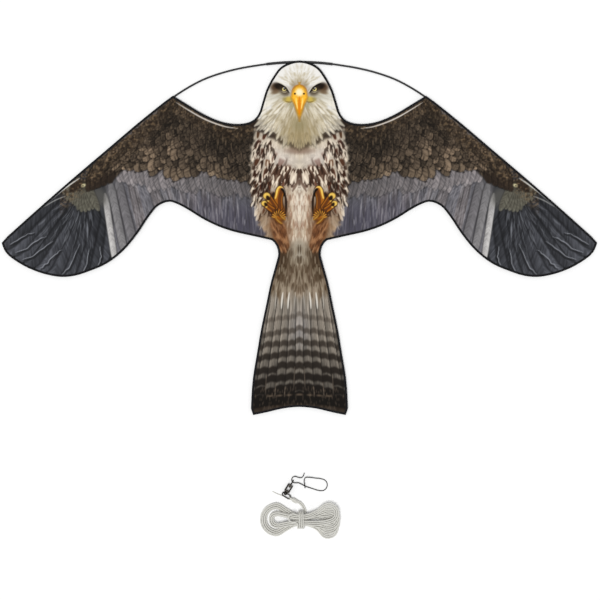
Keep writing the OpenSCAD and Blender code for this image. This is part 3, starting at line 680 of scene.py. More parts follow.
def paint_inner_flight(cloth, ink, rng):
    """Grey flight feathers from the body outwards, and the ground of the whole wing."""
    u, v = cloth.u, cloth.v
    grey, slate = np.array(ink.secondary), np.array(ink.primary)
    wing = np.flatnonzero(u < 285)
    outer = smooth_edge(np.interp(v, [180, 200, 262], [104, 108, 120]) - u, 2)[wing]
    cloth.lay(wing, np.ones(len(wing)), grey * 0.78)
    cloth.lay(wing, outer, slate * 0.7)

    def hang(ru):
        """Lean and foot of the inner flight feather that starts there."""
        lean = np.interp(ru, [108, 125, 150, 172, 200, 235, 266], [12, 15, 14, 6, 3, 1, 4])
        foot = np.interp(ru + lean, [116, 123, 135, 150, 160, 171, 185, 205, 225, 245, 272],
                         [264, 254, 240, 218, 207, 203, 208, 220, 230, 236, 243])
        return lean, foot

    ru, k = 269.0, 0
    while ru > 110:
        lean, foot = hang(ru)
        top = np.interp(ru, [108, 125, 150, 175, 205, 240, 266], [182, 170, 166, 166, 160, 163, 170])
        tone = np.interp(ru, [112, 140, 190, 250, 266],
                         [1.06, 0.98, 1.0, 0.88, 0.78]) * rng.uniform(0.92, 1.08)
        warm = np.array([1.02, 0.99, 0.98]) if rng.random() > 0.5 else np.array([0.98, 0.99, 1.02])
        cloth.feather((ru, top), (ru + lean, foot), rng.uniform(4.2, 6.4), grey * 0.74 * tone * warm,
                      grey * 1.12 * tone * warm, edge=grey * 1.45, rim=rng.uniform(0.0, 0.35), side=1,
                      blunt=0.16, bend=rng.uniform(-1.6, 1.6), shade=rng.uniform(0.08, 0.4), barb=1.3,
                      seed=k)
        ru, k = ru - rng.uniform(3.0, 6.0), k + 1
    dusk = 0.75 * ease((v - np.interp(u, [160, 200, 270], [176, 184, 194])) / 30) * ease((u - 160) / 50)
    cloth.lay(wing, dusk[wing], np.array([0.27, 0.26, 0.31]))
    for k in range(420):
        ru = rng.uniform(112, 268)
        lean, foot = hang(ru)
        a = rng.uniform(176, foot - 6)
        b = a + rng.uniform(5, 20)
        slope = lean / (foot - 168)
        pale = k % 3
        cloth.streak([(ru + slope * (a - 168), a),
                      (ru + slope * (b - 168) + rng.uniform(-1.2, 1.2), b)], rng.uniform(0.3, 0.6),
                     grey * (1.45 if pale else 0.45), rng.uniform(0.15, 0.55) if pale else 0.45)


def paint_outer_flight(cloth, ink, rng):
    """Slate flight feathers, the innermost first, and the pale feather that divides them from the grey."""
    grey, slate = np.array(ink.secondary), np.array(ink.primary)
    tips = [(104, 265), (93, 272.5), (80, 278.5), (66, 281), (52, 279), (39, 274), (27, 268),
            (17, 261.5), (8, 254.5), (0, 247)]
    roots = [(104, 200), (99, 202), (94, 204), (88, 204), (82, 203), (76, 201), (71, 198), (66, 195),
             (62, 192), (60, 188)]
    for k, (root, tip) in enumerate(zip(roots, tips)):
        tone = rng.uniform(0.86, 1.12)
        cloth.feather(root, tip, 8.4, slate * 0.58 * tone, slate * 1.4 * tone, edge=(0.60, 0.61, 0.64),
                      rim=0.3, side=1, blunt=0.2, bend=3.0 - 0.5 * k, shade=0.7, roll=0.34, seed=50 + k)
    lips = [((9, 244.5), (17, 241), (25, 235.5), (34, 232.5)),
            ((15, 252.5), (27, 248), (38, 240), (46, 236.5)),
            ((22, 260), (32, 256), (44, 248), (53, 241.5)),
            ((40, 268.5), (47, 263), (55, 255), (62, 249.5)),
            ((62, 274.5), (68, 268), (74, 257), (79, 244)),
            ((80, 275), (85, 268), (88, 258), (89, 248)),
            ((97, 268), (100, 262), (101, 254), (100, 246))]
    for path in lips:
        path = [np.add(p, rng.uniform(-0.6, 0.6, 2)) for p in smooth_path(path, 3)]
        cloth.streak([np.add(p, (1.1, 1.3)) for p in path], 1.2, slate * 0.42, 0.7)
        cloth.streak(path, 0.34, (0.72, 0.73, 0.76), 0.75)
    for k in range(120):
        a, b = rng.random(), rng.random() ** 1.6
        start = np.array([86.0, 186.0])
        turn = math.radians(np.interp(a, [0, 1], [215, 282]))
        d = np.array([math.cos(turn), -math.sin(turn)])
        top = start + d * (22 + 58 * b)
        cloth.streak([top, top + d * 5 + (0.5, 0.4), top + d * rng.uniform(8, 17)], rng.uniform(0.3, 0.55),
                     (0.58, 0.59, 0.62) if k % 2 else slate * 0.4, 0.45 * (1 - 0.6 * b))
    # The pale dividing feather and its neighbours
    cloth.feather((117, 178), (134, 244), 4.6, grey * 0.7, grey * 1.15, edge=(0.17, 0.16, 0.17),
                  rim=0.75, side=-1, blunt=0.15, shade=0.5, seed=79)
    cloth.feather((110, 181), (125, 254), 4.0, (0.36, 0.355, 0.36), (0.58, 0.57, 0.575),
                  edge=(0.16, 0.15, 0.16), rim=0.8, side=-1, blunt=0.15, shade=0.5, seed=80)
    cloth.feather((105, 193), (115.5, 264), 2.9, (0.52, 0.51, 0.51), (0.84, 0.83, 0.82),
                  edge=(0.97, 0.96, 0.95), rim=0.8, side=1, blunt=0.2, shade=0.7, seed=81)
    cloth.spot((99, 197), (8, 10), (0.34, 0.335, 0.32), 0.8, -20, 0.6)


def paint_coverts(cloth, ink, rng):
    """The olive fan, the grey coverts and the brown rows over the flight feathers."""
    covert, tan, grey = np.array(ink.covert), np.array(ink.covert_edge), np.array(ink.secondary)
    for k, a in enumerate(np.linspace(8, 122, 13)):
        d = np.array([math.cos(math.radians(180 - a)), math.sin(math.radians(a))])
        tip = np.array([84, 187]) + d * np.interp(a, [8, 60, 122], [22, 22, 27]) * rng.uniform(0.92, 1.06)
        cloth.feather((86, 183), tip, 3.7, (0.20, 0.19, 0.165), (0.46, 0.45, 0.40),
                      edge=(0.56, 0.55, 0.48), rim=0.2, blunt=0.5, shade=0.35, seed=90 + k)
    # Grey coverts between the brown ones and the flight feathers
    at = 120.0
    while at < 268:
        tip_v = np.interp(at, [118, 150, 185, 225, 266], [186, 189, 190, 196, 202]) + rng.uniform(-5, 4)
        tone = np.interp(at, [120, 150, 200, 266], [1.12, 1.02, 0.9, 0.76]) * rng.uniform(0.9, 1.1)
        cloth.feather((at - 3, tip_v - 26), (at, tip_v), rng.uniform(3.6, 5.2), grey * 0.66 * tone,
                      grey * 1.2 * tone * (1.03, 1, 0.98), edge=grey * 1.4, rim=rng.uniform(0.0, 0.4),
                      side=1, blunt=0.6, shade=0.35, barb=1.6, seed=int(at))
        at += rng.uniform(3.4, 5.6)
    # Brown covert rows, the lowest first
    rows = [(1.0, 6.2), (0.86, 6.0), (0.73, 5.6), (0.61, 4.9), (0.5, 4.1), (0.4, 3.5), (0.31, 3.0),
            (0.23, 2.6), (0.16, 2.2), (0.1, 1.9), (0.05, 1.7)]
    for n, (share, width) in enumerate(rows):
        at = 88.0 if share > 0.5 else 94.0
        while at < 268:
            low, top = np.interp(at, *COVERT_FOOT), np.interp(at, *LEADING_EDGE)
            tip_v = top + (low - top) * share + rng.uniform(-3.8, 3.2)
            lean = np.interp(at, [90, 130, 170, 220, 266],
                             [-0.75, -0.6, -0.45, -0.2, 0.1]) + rng.uniform(-0.12, 0.12)
            run = width * rng.uniform(2.6, 3.8)
            dim = 1 - 0.45 * math.exp(-((at - 238) / 34) ** 2 - ((tip_v - 146) / 26) ** 2)
            dim -= 0.2 * math.exp(-((at - 172) / 30) ** 2 - ((tip_v - 122) / 18) ** 2)
            patch = float(noise(np.array([at]), np.array([tip_v]), 14, 6)[0])
            dim *= rng.uniform(0.66, 1.25) * (0.7 + 0.6 * patch)
            warm = np.interp(share, [0, 0.35, 0.8, 1], [0.7, 0.4, 0.35, 0.55])
            low_row = float(ease((share - 0.3) / 0.7))
            dark = covert * dim * 0.62
            pale = covert + (0.25 + 0.5 * warm) * (tan - covert)
            pale = pale * dim * (1.1 + 0.4 * low_row) * (0.97, 1, 1.03)
            if tip_v > top + 1.5:
                cloth.feather((at - lean * run, tip_v - run), (at, tip_v),
                              width * rng.uniform(0.85, 1.1), dark, pale,
                              edge=tan * min(dim, 1.0) * (1.35 - 0.2 * low_row),
                              rim=rng.uniform(0.1, 0.75) * (1 - 0.6 * low_row),
                              side=1 if rng.random() > 0.4 else -1, blunt=0.6, shade=0.6, barb=1.8,
                              lift=0.3 + 0.3 * low_row, seed=int(at) + 7 * n)
            at += width * rng.uniform(0.7, 1.4)
    # Dark tips beside the pale spot at the wing's bend
    tips = [((87, 191.5), 11), ((92, 190), 12), ((97, 188), 12), ((103, 186), 13), ((109, 183.5), 13),
            ((71, 192), 9), ((76, 189), 9)]
    for k, (tip, run) in enumerate(tips):
        cloth.feather((tip[0] + 5, tip[1] - run), tip, 3.3, covert * 0.45, covert * 1.05, edge=tan,
                      rim=0.12, blunt=0.5, shade=0.5, seed=120 + k)
    cloth.spot((83.4, 185.4), (2.2, 1.5), (0.95, 0.92, 0.72), 0.95, -20)


def paint_leading_edge(cloth, ink, rng):
    """Speckle and rim along the leading edge, thin shafts among the coverts."""
    u, v = cloth.u, cloth.v
    covert, tan = np.array(ink.covert), np.array(ink.covert_edge)
    lead = np.interp(u, *LEADING_EDGE)
    over = np.flatnonzero((u < 262) & (v < lead + 22) & (u > 60))
    fade = ease((lead[over] + 22 - v[over]) / 16)
    cloth.lay(over, 0.2 * fade, np.array([0.36, 0.29, 0.22]))
    cloth.lay(over, 0.5 * fade * ease((noise(u[over], v[over], 1.7, 3) - 0.58) / 0.2), (0.52, 0.43, 0.32))
    cloth.lay(over, 0.6 * fade * ease((noise(u[over], v[over], 1.6, 5) - 0.55) / 0.2), (0.13, 0.10, 0.08))
    for k in range(170):
        at = rng.uniform(100, 262)
        low, top = np.interp(at, *COVERT_FOOT), np.interp(at, *LEADING_EDGE)
        pv = rng.uniform(top + 8, low - 4)
        d = np.array([rng.uniform(-1.5, 1.0), rng.uniform(2.5, 6)])
        cloth.streak([(at, pv), (at + d[0], pv + d[1])], 0.4, tan * 1.1 if k % 2 else covert * 0.4, 0.45)
    cloth.marks(
        ([(36, 213), (52, 198.5), (66, 187.5), (80, 178)], 0.8, (0.88, 0.88, 0.86), 0.85),
        ([(44, 207), (56, 200), (66, 196)], 0.5, (0.80, 0.80, 0.78), 0.6),
        ([(176, 102.4), (187, 109.2), (199.3, 116.4), (207, 120.2), (215, 123.4), (226, 126.8),
          (238, 128.4)], 0.62, (0.93, 0.90, 0.86), 0.9),
    )


def paint_breast(cloth, ink, rng):
    """Streaked breast, flanks and belly, with what hangs below them."""
    u, v = cloth.u, cloth.v
    white, drop = np.array(ink.white) * (1, 0.95, 0.88), np.array(ink.streak)
    half = np.interp(v, [100, 128, 150, 175, 200, 225, 242, 262, 300], [40, 43, 47, 49, 46, 39, 30, 40, 60])
    torso = np.flatnonzero(u > PRINT_AXIS - half - 6)
    edge = PRINT_AXIS - half + 5 * (noise(u, v, 3, 11) - 0.5)
    fluff = 0.76 + 0.28 * noise(u + 0.25 * v, v * 0.35, 2.2, 13) * noise(u, v, 9, 14) ** 0.5
    dusk = np.interp(v, [165, 195, 225], [0, 0.07, 0.12])[:, None] * (0.6, 1.2, 1.8)
    cloth.lay(torso, smooth_edge((u - edge)[torso], 2.5), (white * fluff[:, None] * (1 - dusk))[torso])
    for k in range(420):
        tv = rng.uniform(130, 243)
        far = rng.uniform(0, 1)
        tu = PRINT_AXIS - far * np.interp(tv, [128, 150, 175, 200, 225, 246], [42, 46, 48, 45, 36, 24])
        d = np.array([-0.4 * far + rng.uniform(-0.12, 0.12), 1.0]) * rng.uniform(4, 9)
        tone = white * rng.uniform(0.97, 1.04) if k % 2 else white * rng.uniform(0.6, 0.8) * (1, 0.97, 0.92)
        cloth.wisp(np.array([tu, tv]), d, 0.3, rng.uniform(0.5, 1.1), tone, 0.45)
    # Feathers with brown hearts, the lowest first, on the flanks and in a slanting band to the middle
    for tv in np.arange(222, 132, -6.5):
        wide = np.interp(tv, *FLANK)
        for far in np.arange(0.05, 1.02, 0.09):
            far, foot = far + rng.uniform(-0.05, 0.05), tv + rng.uniform(-4.5, 4.5)
            inner = np.interp(foot, [135, 160, 185], [0.76, 0.66, 0.5])
            flank = ease((far - inner) / 0.2) * ease((222 - foot) / 10)
            band = ease(2.2 - 1.4 * math.hypot((far - 0.34) / 0.3, (foot - 180 + 30 * (far - 0.34)) / 8.5))
            if rng.random() > 0.92 * max(flank * ease((foot - 128) / 22), band):
                continue
            tip = np.array([PRINT_AXIS - wide * far, foot])
            slant = rng.uniform(-0.2, 0.2) - (0.3 * far if flank > band else 0.3)
            lean = np.array([slant, 1.0]) * rng.uniform(10, 18)
            brown = drop * rng.uniform(0.5, 1.2) * (1.05, rng.uniform(0.85, 0.97), rng.uniform(0.7, 0.9))
            light = white * rng.uniform(0.8, 1.0)
            cloth.feather(tip - lean, tip, rng.uniform(2.2, 3.5), light * 0.8, light, edge=white * 1.05,
                          rim=0.3, blunt=0.95, core=brown, core_share=rng.uniform(0.6, 1.0), shade=0.22,
                          seed=int(tv + 60 * far))
    cloth.marks(
        ((283, 157), (13, 11), (0.87, 0.83, 0.80), 0.55, 0, 0.9),
        ((286, 179), (13, 8), (0.47, 0.36, 0.29), 0.5, 0, 0.9),
    )
    for k in range(110):
        far = rng.uniform(0.0, 0.62)
        top = np.array([PRINT_AXIS - 48 * far, 167 + 12 * (0.62 - far) + rng.uniform(-6, 7)])
        d = np.array([-rng.uniform(0.05, 0.6), 1.0]) * rng.uniform(6, 13)
        tone = white * 1.03 if k % 3 == 0 else drop * rng.uniform(0.5, 1.1)
        cloth.wisp(top, d, rng.uniform(-0.8, 0.8), rng.uniform(0.6, 1.7), tone, 0.8)
    for k in range(150):
        tv = rng.uniform(140, 214)
        wide = np.interp(tv, *FLANK)
        far = 1 - 0.5 * rng.random()
        tip = np.array([PRINT_AXIS - wide * far, tv])
        d = np.array([-0.3 * far + rng.uniform(-0.3, 0.3), 1.0]) * rng.uniform(4, 9)
        cloth.wisp(tip, d, rng.uniform(-0.7, 0.7), rng.uniform(0.5, 1.2),
                   white * 1.03 if k % 3 == 0 else drop * rng.uniform(0.35, 0.8), 0.75)
    cloth.spot((PRINT_AXIS, 207), (8, 24), (0.83, 0.80, 0.75), 0.55, 0, 0.8)
    for pu, pv, su, sv in ((288.5, 207, 2.4, 13), (262, 214, 4.5, 10), (290, 228, 2.6, 10)):
        cloth.spot((pu, pv), (su, sv), (0.36, 0.26, 0.18), 0.5, 0, 0.9)
    for k in range(90):
        tv = rng.uniform(188, 244)
        tip = np.array([PRINT_AXIS - 13 * rng.random(), tv])
        d = np.array([rng.uniform(-0.25, 0.25), 1.0]) * rng.uniform(4, 9)
        cloth.wisp(tip, d, rng.uniform(-0.6, 0.6), rng.uniform(0.4, 0.9),
                   white * 1.04 if k % 2 else drop * rng.uniform(1.3, 1.9), 0.36)
    paint_undertail(cloth, rng)
    paint_legs(cloth, rng)
    paint_feet(cloth, ink)


def paint_undertail(cloth, rng):
    """Undertail, pale in the middle."""
    u, v = cloth.u, cloth.v
    low = np.flatnonzero((v > 232) & (u > 250))
    fog = noise(u[low] * 1.0, v[low] * 0.35, 2.4, 12) * 0.6 + noise(u[low], v[low], 7, 15) * 0.4
    lighter = 0.09 * ease((v[low] - 264) / 26)[:, None]
    under = np.array([0.42, 0.36, 0.29]) + 0.34 * (fog[:, None] - 0.5) + lighter
    cloth.lay(low, ease((v[low] - 236 + 0.12 * (PRINT_AXIS - u[low])) / 14), under)
    for pu, pv, su, sv, rgb, share in (
            (PRINT_AXIS, 250, 7, 13, (0.72, 0.69, 0.63), 0.7),
            (282, 260, 5.5, 10, (0.20, 0.14, 0.09), 0.85),
            (291, 272, 2.8, 8, (0.24, 0.17, 0.11), 0.5),
            (280, 273, 4.6, 9, (0.22, 0.16, 0.10), 0.6),
            (287, 281, 3.0, 6, (0.28, 0.22, 0.16), 0.35)):
        cloth.spot((pu, pv), (su, sv), rgb, share, 8, 0.8)
    for k in range(170):
        pv = rng.uniform(244, 296)
        pu = PRINT_AXIS - rng.random() * np.interp(pv, [244, 262, 300], [24, 21, 29])
        tone = ((0.24, 0.18, 0.12), (0.66, 0.61, 0.53), (0.36, 0.29, 0.22))[k % 3]
        cloth.streak([(pu, pv - 4), (pu - rng.uniform(0, 1.6), pv + 4)], rng.uniform(0.45, 0.85), tone, 0.5)


def paint_legs(cloth, rng):
    """Feathered legs."""
    cloth.marks(
        ((277, 229), (9.5, 19), (0.34, 0.22, 0.13), 0.75, -12, 0.7),
        ((280, 231), (6.5, 15), (0.47, 0.29, 0.17), 0.9, -14, 0.75),
    )
    for k in range(150):
        a, b = rng.uniform(-1, 1), rng.uniform(0, 1)
        pu = 275.5 + 8.5 * b + a * np.interp(b, [0, 0.6, 1], [6.5, 7, 4])
        pv = 219 + 30 * b
        tone = ((0.26, 0.15, 0.09), (0.68, 0.50, 0.35), (0.47, 0.30, 0.18))[k % 3]
        cloth.streak([(pu, pv), (pu + 1.3, pv + 3), (pu + 2, pv + 5.5)], rng.uniform(0.45, 0.85), tone,
                     0.55)


def paint_feet(cloth, ink):
    """A clenched foot: sole, three curled toes and their claws."""
    foot, dark, gold = np.array(ink.feet), np.array([0.17, 0.09, 0.05]), np.array([0.96, 0.80, 0.38])
    cloth.marks(
        ((277, 207), (9.0, 15), dark, 0.55, -10, 0.6),
        ([(284.5, 191), (286.0, 202), (285.5, 216)], 1.2, dark * 0.7, 0.9),
        ((278.4, 211.0), (6.9, 10.8), dark * 1.2, 1.0, -12, 0.3),
        ((278.0, 211.0), (6.0, 10.0), foot * 0.8, 1.0, -12, 0.4),
    )
    for path, width in (([(278.6, 207), (278.4, 198), (280.4, 190.4)], 4.0),
                        ([(274.5, 207), (270.5, 201), (267.6, 196.6)], 3.1),
                        ([(273, 210), (268.5, 207), (264.8, 203.6)], 2.6)):
        cloth.streak(path, width + 0.8, dark * 0.9, 0.85, False)
        cloth.streak(path, width, foot * 0.85, 1.0, False)
        cloth.marks(
            ([np.add(p, (0.32 * width, 0.4)) for p in path], 0.45 * width, dark * 1.8, 0.75, False),
            ([np.add(p, (-0.72 * width, 0)) for p in path[1:]], 0.8, gold, 0.9, False),
        )
    hub = np.array([277.8, 217.5])
    for a in range(-80, 81, 20):
        d = np.array([math.sin(math.radians(a)), -math.cos(math.radians(a))])
        cloth.marks(
            ([hub + d * 1.6, hub + d * 9.5], 0.8, dark * 1.2, 0.8),
            ([hub + d * 2.2 + (1.0, 0.4), hub + d * 7.5 + (1.0, 0.4)], 0.65, gold * (0.98, 0.84, 0.66),
             0.8),
        )
    for path in ([(275, 217), (279, 221.5), (282.5, 224)], [(279.5, 214), (283, 218), (286, 220)]):
        cloth.streak(path, 1.4, foot * 0.7, 0.85)
        cloth.streak(path, 0.5, gold * 0.85, 0.6)
    for at, size, claw in (((266.7, 195.9), 3.4, (267.9, 198.0)), ((264.2, 203.4), 2.7, (265.6, 204.4))):
        cloth.marks(
            (at, (size + 0.6, size + 0.5), dark * 0.8, 0.85, 0, 0.3),
            (at, (size, size * 0.94), gold * 0.97, 1.0, 0, 0.25),
            (claw, (0.55 * size, 0.75 * size), dark * 0.7, 0.95, -24, 0.35),
        )
    cloth.marks(
        ([(276.6, 196), (277.2, 190), (279.6, 187.0), (282.6, 187.4)], 1.0, gold, 0.95),
        ([(280.6, 188.8), (283.6, 190.4), (284.2, 196.5)], 1.5, dark * 0.4, 0.95),
        ([(281.2, 187.4), (284.2, 189.2), (285.2, 193)], 0.4, (0.75, 0.72, 0.68), 0.7),
    )


def paint_tail(cloth, ink, rng):
    """Barred tail feathers that spread to the end."""
    where = np.flatnonzero((cloth.v > 284) & (cloth.u > 240))
    u, v = cloth.u[where], cloth.v[where]
    lane = (PRINT_AXIS - u) / np.interp(v, [288, 300, 340, 380, 415], [27, 29.5, 36, 43, 50]) * TAIL_LANES
    n = np.floor(lane + 0.5)
    off = lane - n
    side = np.clip(lane / TAIL_LANES, 0, 1)
    drop = v - 5.5 * side**1.3 + 2.2 - 3.0 * np.abs(off) + 1.2 * (noise(n * 3.7, v * 0 + 5, 1.0, 32) - 0.5)
    streaky = 0.78 + 0.44 * noise(lane * 14, v * 0.12, 1.0, 31)
    light = np.interp(v, [288, 312, 335, 360, 385, 412], [0.94, 0.96, 0.89, 0.77, 0.6, 0.32])
    base = np.array([0.55, 0.515, 0.47]) * (light * streaky * (1 + 0.4 * off))[:, None]
    cool = 0.04 * ease(1 - side / 0.5) * ease(1 - np.abs(v - 330) / 34)
    base += cool[:, None] * np.array([0.6, 0.9, 1.6])
    dark = np.zeros(len(v))
    for k, (at, deep) in enumerate(((316.5, 0.4), (331, 0.6), (342.5, 0.75), (354.5, 0.85),
                                    (366.5, 0.88), (378, 0.92), (389, 0.95), (399, 0.96))):
        thick = np.interp(at, [316, 378, 389, 399], [2.4, 3.6, 4.0, 7.5])
        wave = 3.0 * (noise(n * 3.7 + k * 9.1, v * 0 + k, 1.0, 33) - 0.5)
        dark = np.maximum(dark, deep * ease((thick + 1.5 - np.abs(drop - at - wave)) / 3.0))
    ink_dark = np.array([0.17, 0.14, 0.115]) * np.interp(v, [310, 360, 400], [1.2, 0.64, 0.36])[:, None]
    rgb = base + (dark * (0.88 + 0.2 * (streaky - 0.8)))[:, None] * (ink_dark - base)
    for share, tint in (
            (0.6 * ease((np.abs(off) - 0.41) / 0.07) * ease((v - 293) / 10), (0.09, 0.08, 0.07)),
            (0.25 * ease(1 - np.abs(off - 0.32) / 0.07) * ease((v - 296) / 8) * ease((372 - v) / 30),
             (0.68, 0.64, 0.60)),
            (0.5 * ease((v - 402.5 - 5.5 * side**2) / 2.5), (0.24, 0.19, 0.15))):
        rgb = rgb + share[:, None] * (np.array(tint) - rgb)
    cloth.lay(where, ease((v - 282 - 16 * noise(u, v * 0.1, 2.2, 34)) / 12), rgb)
    for k in range(90):
        pv, pu = rng.uniform(386, 409), PRINT_AXIS - 47 * rng.random()
        cloth.streak([(pu, pv), (pu - 0.3, pv + 3)], 0.4, (0.44, 0.38, 0.32), 0.4)
    for k, (width, strength) in enumerate(((0.4, 0.4), (0.8, 0.85), (0.85, 0.85), (0.5, 0.5))):
        pu = PRINT_AXIS - (k + 0.72) * 29.5 / TAIL_LANES
        cloth.streak([(pu + 1.0, 292), (pu, 300), (pu - 0.6, 309)], width, (0.92, 0.90, 0.86), strength)
    for k, (top, foot) in enumerate(((366, 390), (386, 397), (382, 398), (374, 396))):
        pu = PRINT_AXIS - (k + 0.55) * 43.5 / TAIL_LANES
        cloth.marks(
            ([(pu + 0.6, top), (pu, 0.5 * (top + foot)), (pu - 0.5, foot)], 0.38, (0.60, 0.53, 0.46), 0.5),
            ((pu + 4.4, 394.5 + 0.5 * k), (2.6, 1.0), (0.42, 0.36, 0.30), 0.7, -4, 0.8),
        )


def paint_head(cloth, ink, rng):
    """White head: throat, crown, eyes and beak."""
    white = np.array(ink.white)
    paint_throat(cloth, white, rng)
    paint_crown(cloth, white, rng)
    paint_eye(cloth, white)
    paint_beak(cloth, np.array(ink.beak))


def paint_throat(cloth, white, rng):
    """Throat and cheeks: feathers that fan out from between the eyes."""
    u, v = cloth.u, cloth.v
    half = np.interp(v, [60, 70, 85, 100, 115, 128, 138, 146], [18, 26, 33, 38, 43, 45, 36, 14])
    skull = np.flatnonzero((v < 150) & (u > PRINT_AXIS - half - 3))
    # Dark gaps behind the throat's tips, then its feathers from the outside in
    lip_u = PRINT_AXIS - 45 * np.linspace(0, 1, 9)
    lip_v = np.array([150, 148, 144, 143, 139, 137, 133, 131, 127.0])
    for a, b in zip(lip_u, lip_v):
        cloth.spot((a, b - 2.5), (4.2, 3.8), (0.15, 0.11, 0.09), 0.85, 0, 0.5)
    cloth.spot((PRINT_AXIS, 150.5), (13, 3.5), (0.52, 0.42, 0.38), 0.75, 0, 0.6)
    cloth.lay(skull, smooth_edge((u - PRINT_AXIS + half)[skull], 2)
              * ease((np.interp(u, lip_u[::-1], lip_v[::-1]) - 9 - v)[skull] / 5), white * 0.93)
    for ring, (reach, root, wide) in enumerate(((1.0, 0.5, 2.9), (0.97, 0.45, 2.1), (0.84, 0.35, 2.4))):
        for k, at in enumerate(np.linspace(-0.02, 1.0, 15 + 4 * ring)):
            at = at + rng.uniform(-0.02, 0.02)
            tip = np.array([PRINT_AXIS - 45 * at, np.interp(at, np.linspace(0, 1, 9), lip_v)])
            tip = BROW + (tip - BROW) * (reach + rng.uniform(-0.13, 0.07))
            start = BROW + (tip - BROW) * root
            tint = np.array([0.92, 0.85, 0.69]) if at < 0.3 else np.array([0.96, 0.92, 0.84])
            shine = np.interp(at, [0, 0.3, 0.7, 1.0], [0.84, 0.90, 0.97, 0.86])
            light = white * tint * shine * rng.uniform(0.9, 1.05)
            cloth.feather(start, tip, wide, light * 0.80, light * 1.06, edge=white, rim=0.25, blunt=0.9,
                          shade=0.30, barb=1.2, seed=400 + k + 20 * ring)
    for k in range(420):
        turn = math.radians(rng.uniform(-4, 88))
        d = np.array([-math.sin(turn), math.cos(turn)])
        far = rng.uniform(13, 46) * np.interp(abs(turn), [0, 1.0, 1.5], [1.0, 0.95, 0.7])
        top = BROW + d * far
        run = rng.uniform(5, 13)
        if far + run > np.interp(math.degrees(turn), [0, 30, 60, 88], [58, 56, 48, 34]):
            continue
        tone = ((0.97, 0.95, 0.90), (0.94, 0.91, 0.84), (0.62, 0.56, 0.43), (0.74, 0.69, 0.57))[k % 4]
        bend = rng.uniform(-0.8, 0.8)
        cloth.wisp(top, d * run, bend, rng.uniform(0.5, 1.1), tone, 0.5 if k % 4 < 2 else 0.36)
    cloth.spot((PRINT_AXIS, 130), (18, 17), (0.60, 0.53, 0.38), 0.72, 0, 0.9)


def paint_crown(cloth, white, rng):
    """Crown feathers."""
    u, v = cloth.u, cloth.v
    crown = np.flatnonzero((v < 92) & (u > 258))
    cloth.lay(crown, 0.92 * ease((90 - v[crown] - 0.12 * (PRINT_AXIS - u[crown])) / 9), white * 0.985)
    for k in range(150):
        turn = math.radians(rng.uniform(0, 74))
        d = np.array([-math.sin(turn), -math.cos(turn)])
        far = rng.uniform(4, 22)
        top = BROW + d * far
        tone = (0.68, 0.62, 0.48) if k % 2 else (0.99, 0.985, 0.96)
        cloth.streak([top, top + d * rng.uniform(3, 7)], rng.uniform(0.5, 0.9), tone,
                     0.4 * np.interp(far, [4, 22], [1, 0.2]))
    cloth.marks(
        ((PRINT_AXIS, 82), (8, 5), (0.64, 0.57, 0.44), 0.45, 0, 0.9),
        ((294, 86), (3.4, 5), (0.52, 0.46, 0.36), 0.5, 25, 0.8),
    )


def paint_eye(cloth, white):
    """Cheek, dark patch, brow and eye."""
    cloth.marks(
        ((281.5, 96.5), (10, 4.6), (0.62, 0.59, 0.50), 0.55, 10, 0.8),
        ((270.5, 97), (6, 6), (0.84, 0.83, 0.79), 0.6, 0, 0.8),
        ((275.4, 87.6), (5.2, 4.4), (0.30, 0.22, 0.15), 0.95, 14, 0.6),
        ((278.8, 86.4), (5.0, 3.1), (0.10, 0.07, 0.05), 0.97, 22, 0.5),
        ((275.2, 92), (4, 2.0), (0.42, 0.33, 0.24), 0.7, -20, 0.6),
        ((284.6, 91.0), (5.4, 4.2), (0.26, 0.21, 0.15), 0.85, 28, 0.6),
        ([(276.5, 81.2), (281.2, 83.2), (286, 87), (290.5, 92.5)], 1.0, white * (0.97, 0.95, 0.9), 0.75),
        ([(278, 83.2), (282.4, 85.6), (286.2, 88.8), (289.2, 93)], 0.95, (0.06, 0.045, 0.04), 0.95),
        ((284.1, 89.0), (2.7, 2.6), (0.07, 0.05, 0.04), 0.95, 0, 0.3),
        ((284.1, 89.3), (2.0, 2.0), (0.90, 0.83, 0.55), 1.0, 0, 0.25),
        ((284.5, 88.7), (1.3, 1.4), (0.02, 0.02, 0.02), 1.0, 0, 0.25),
        ((283.9, 88.1), (0.5, 0.45), (1, 1, 1), 0.9),
        ([(281.6, 91.2), (284.2, 92.3), (287, 91.6)], 0.5, (0.82, 0.78, 0.66), 0.7),
    )


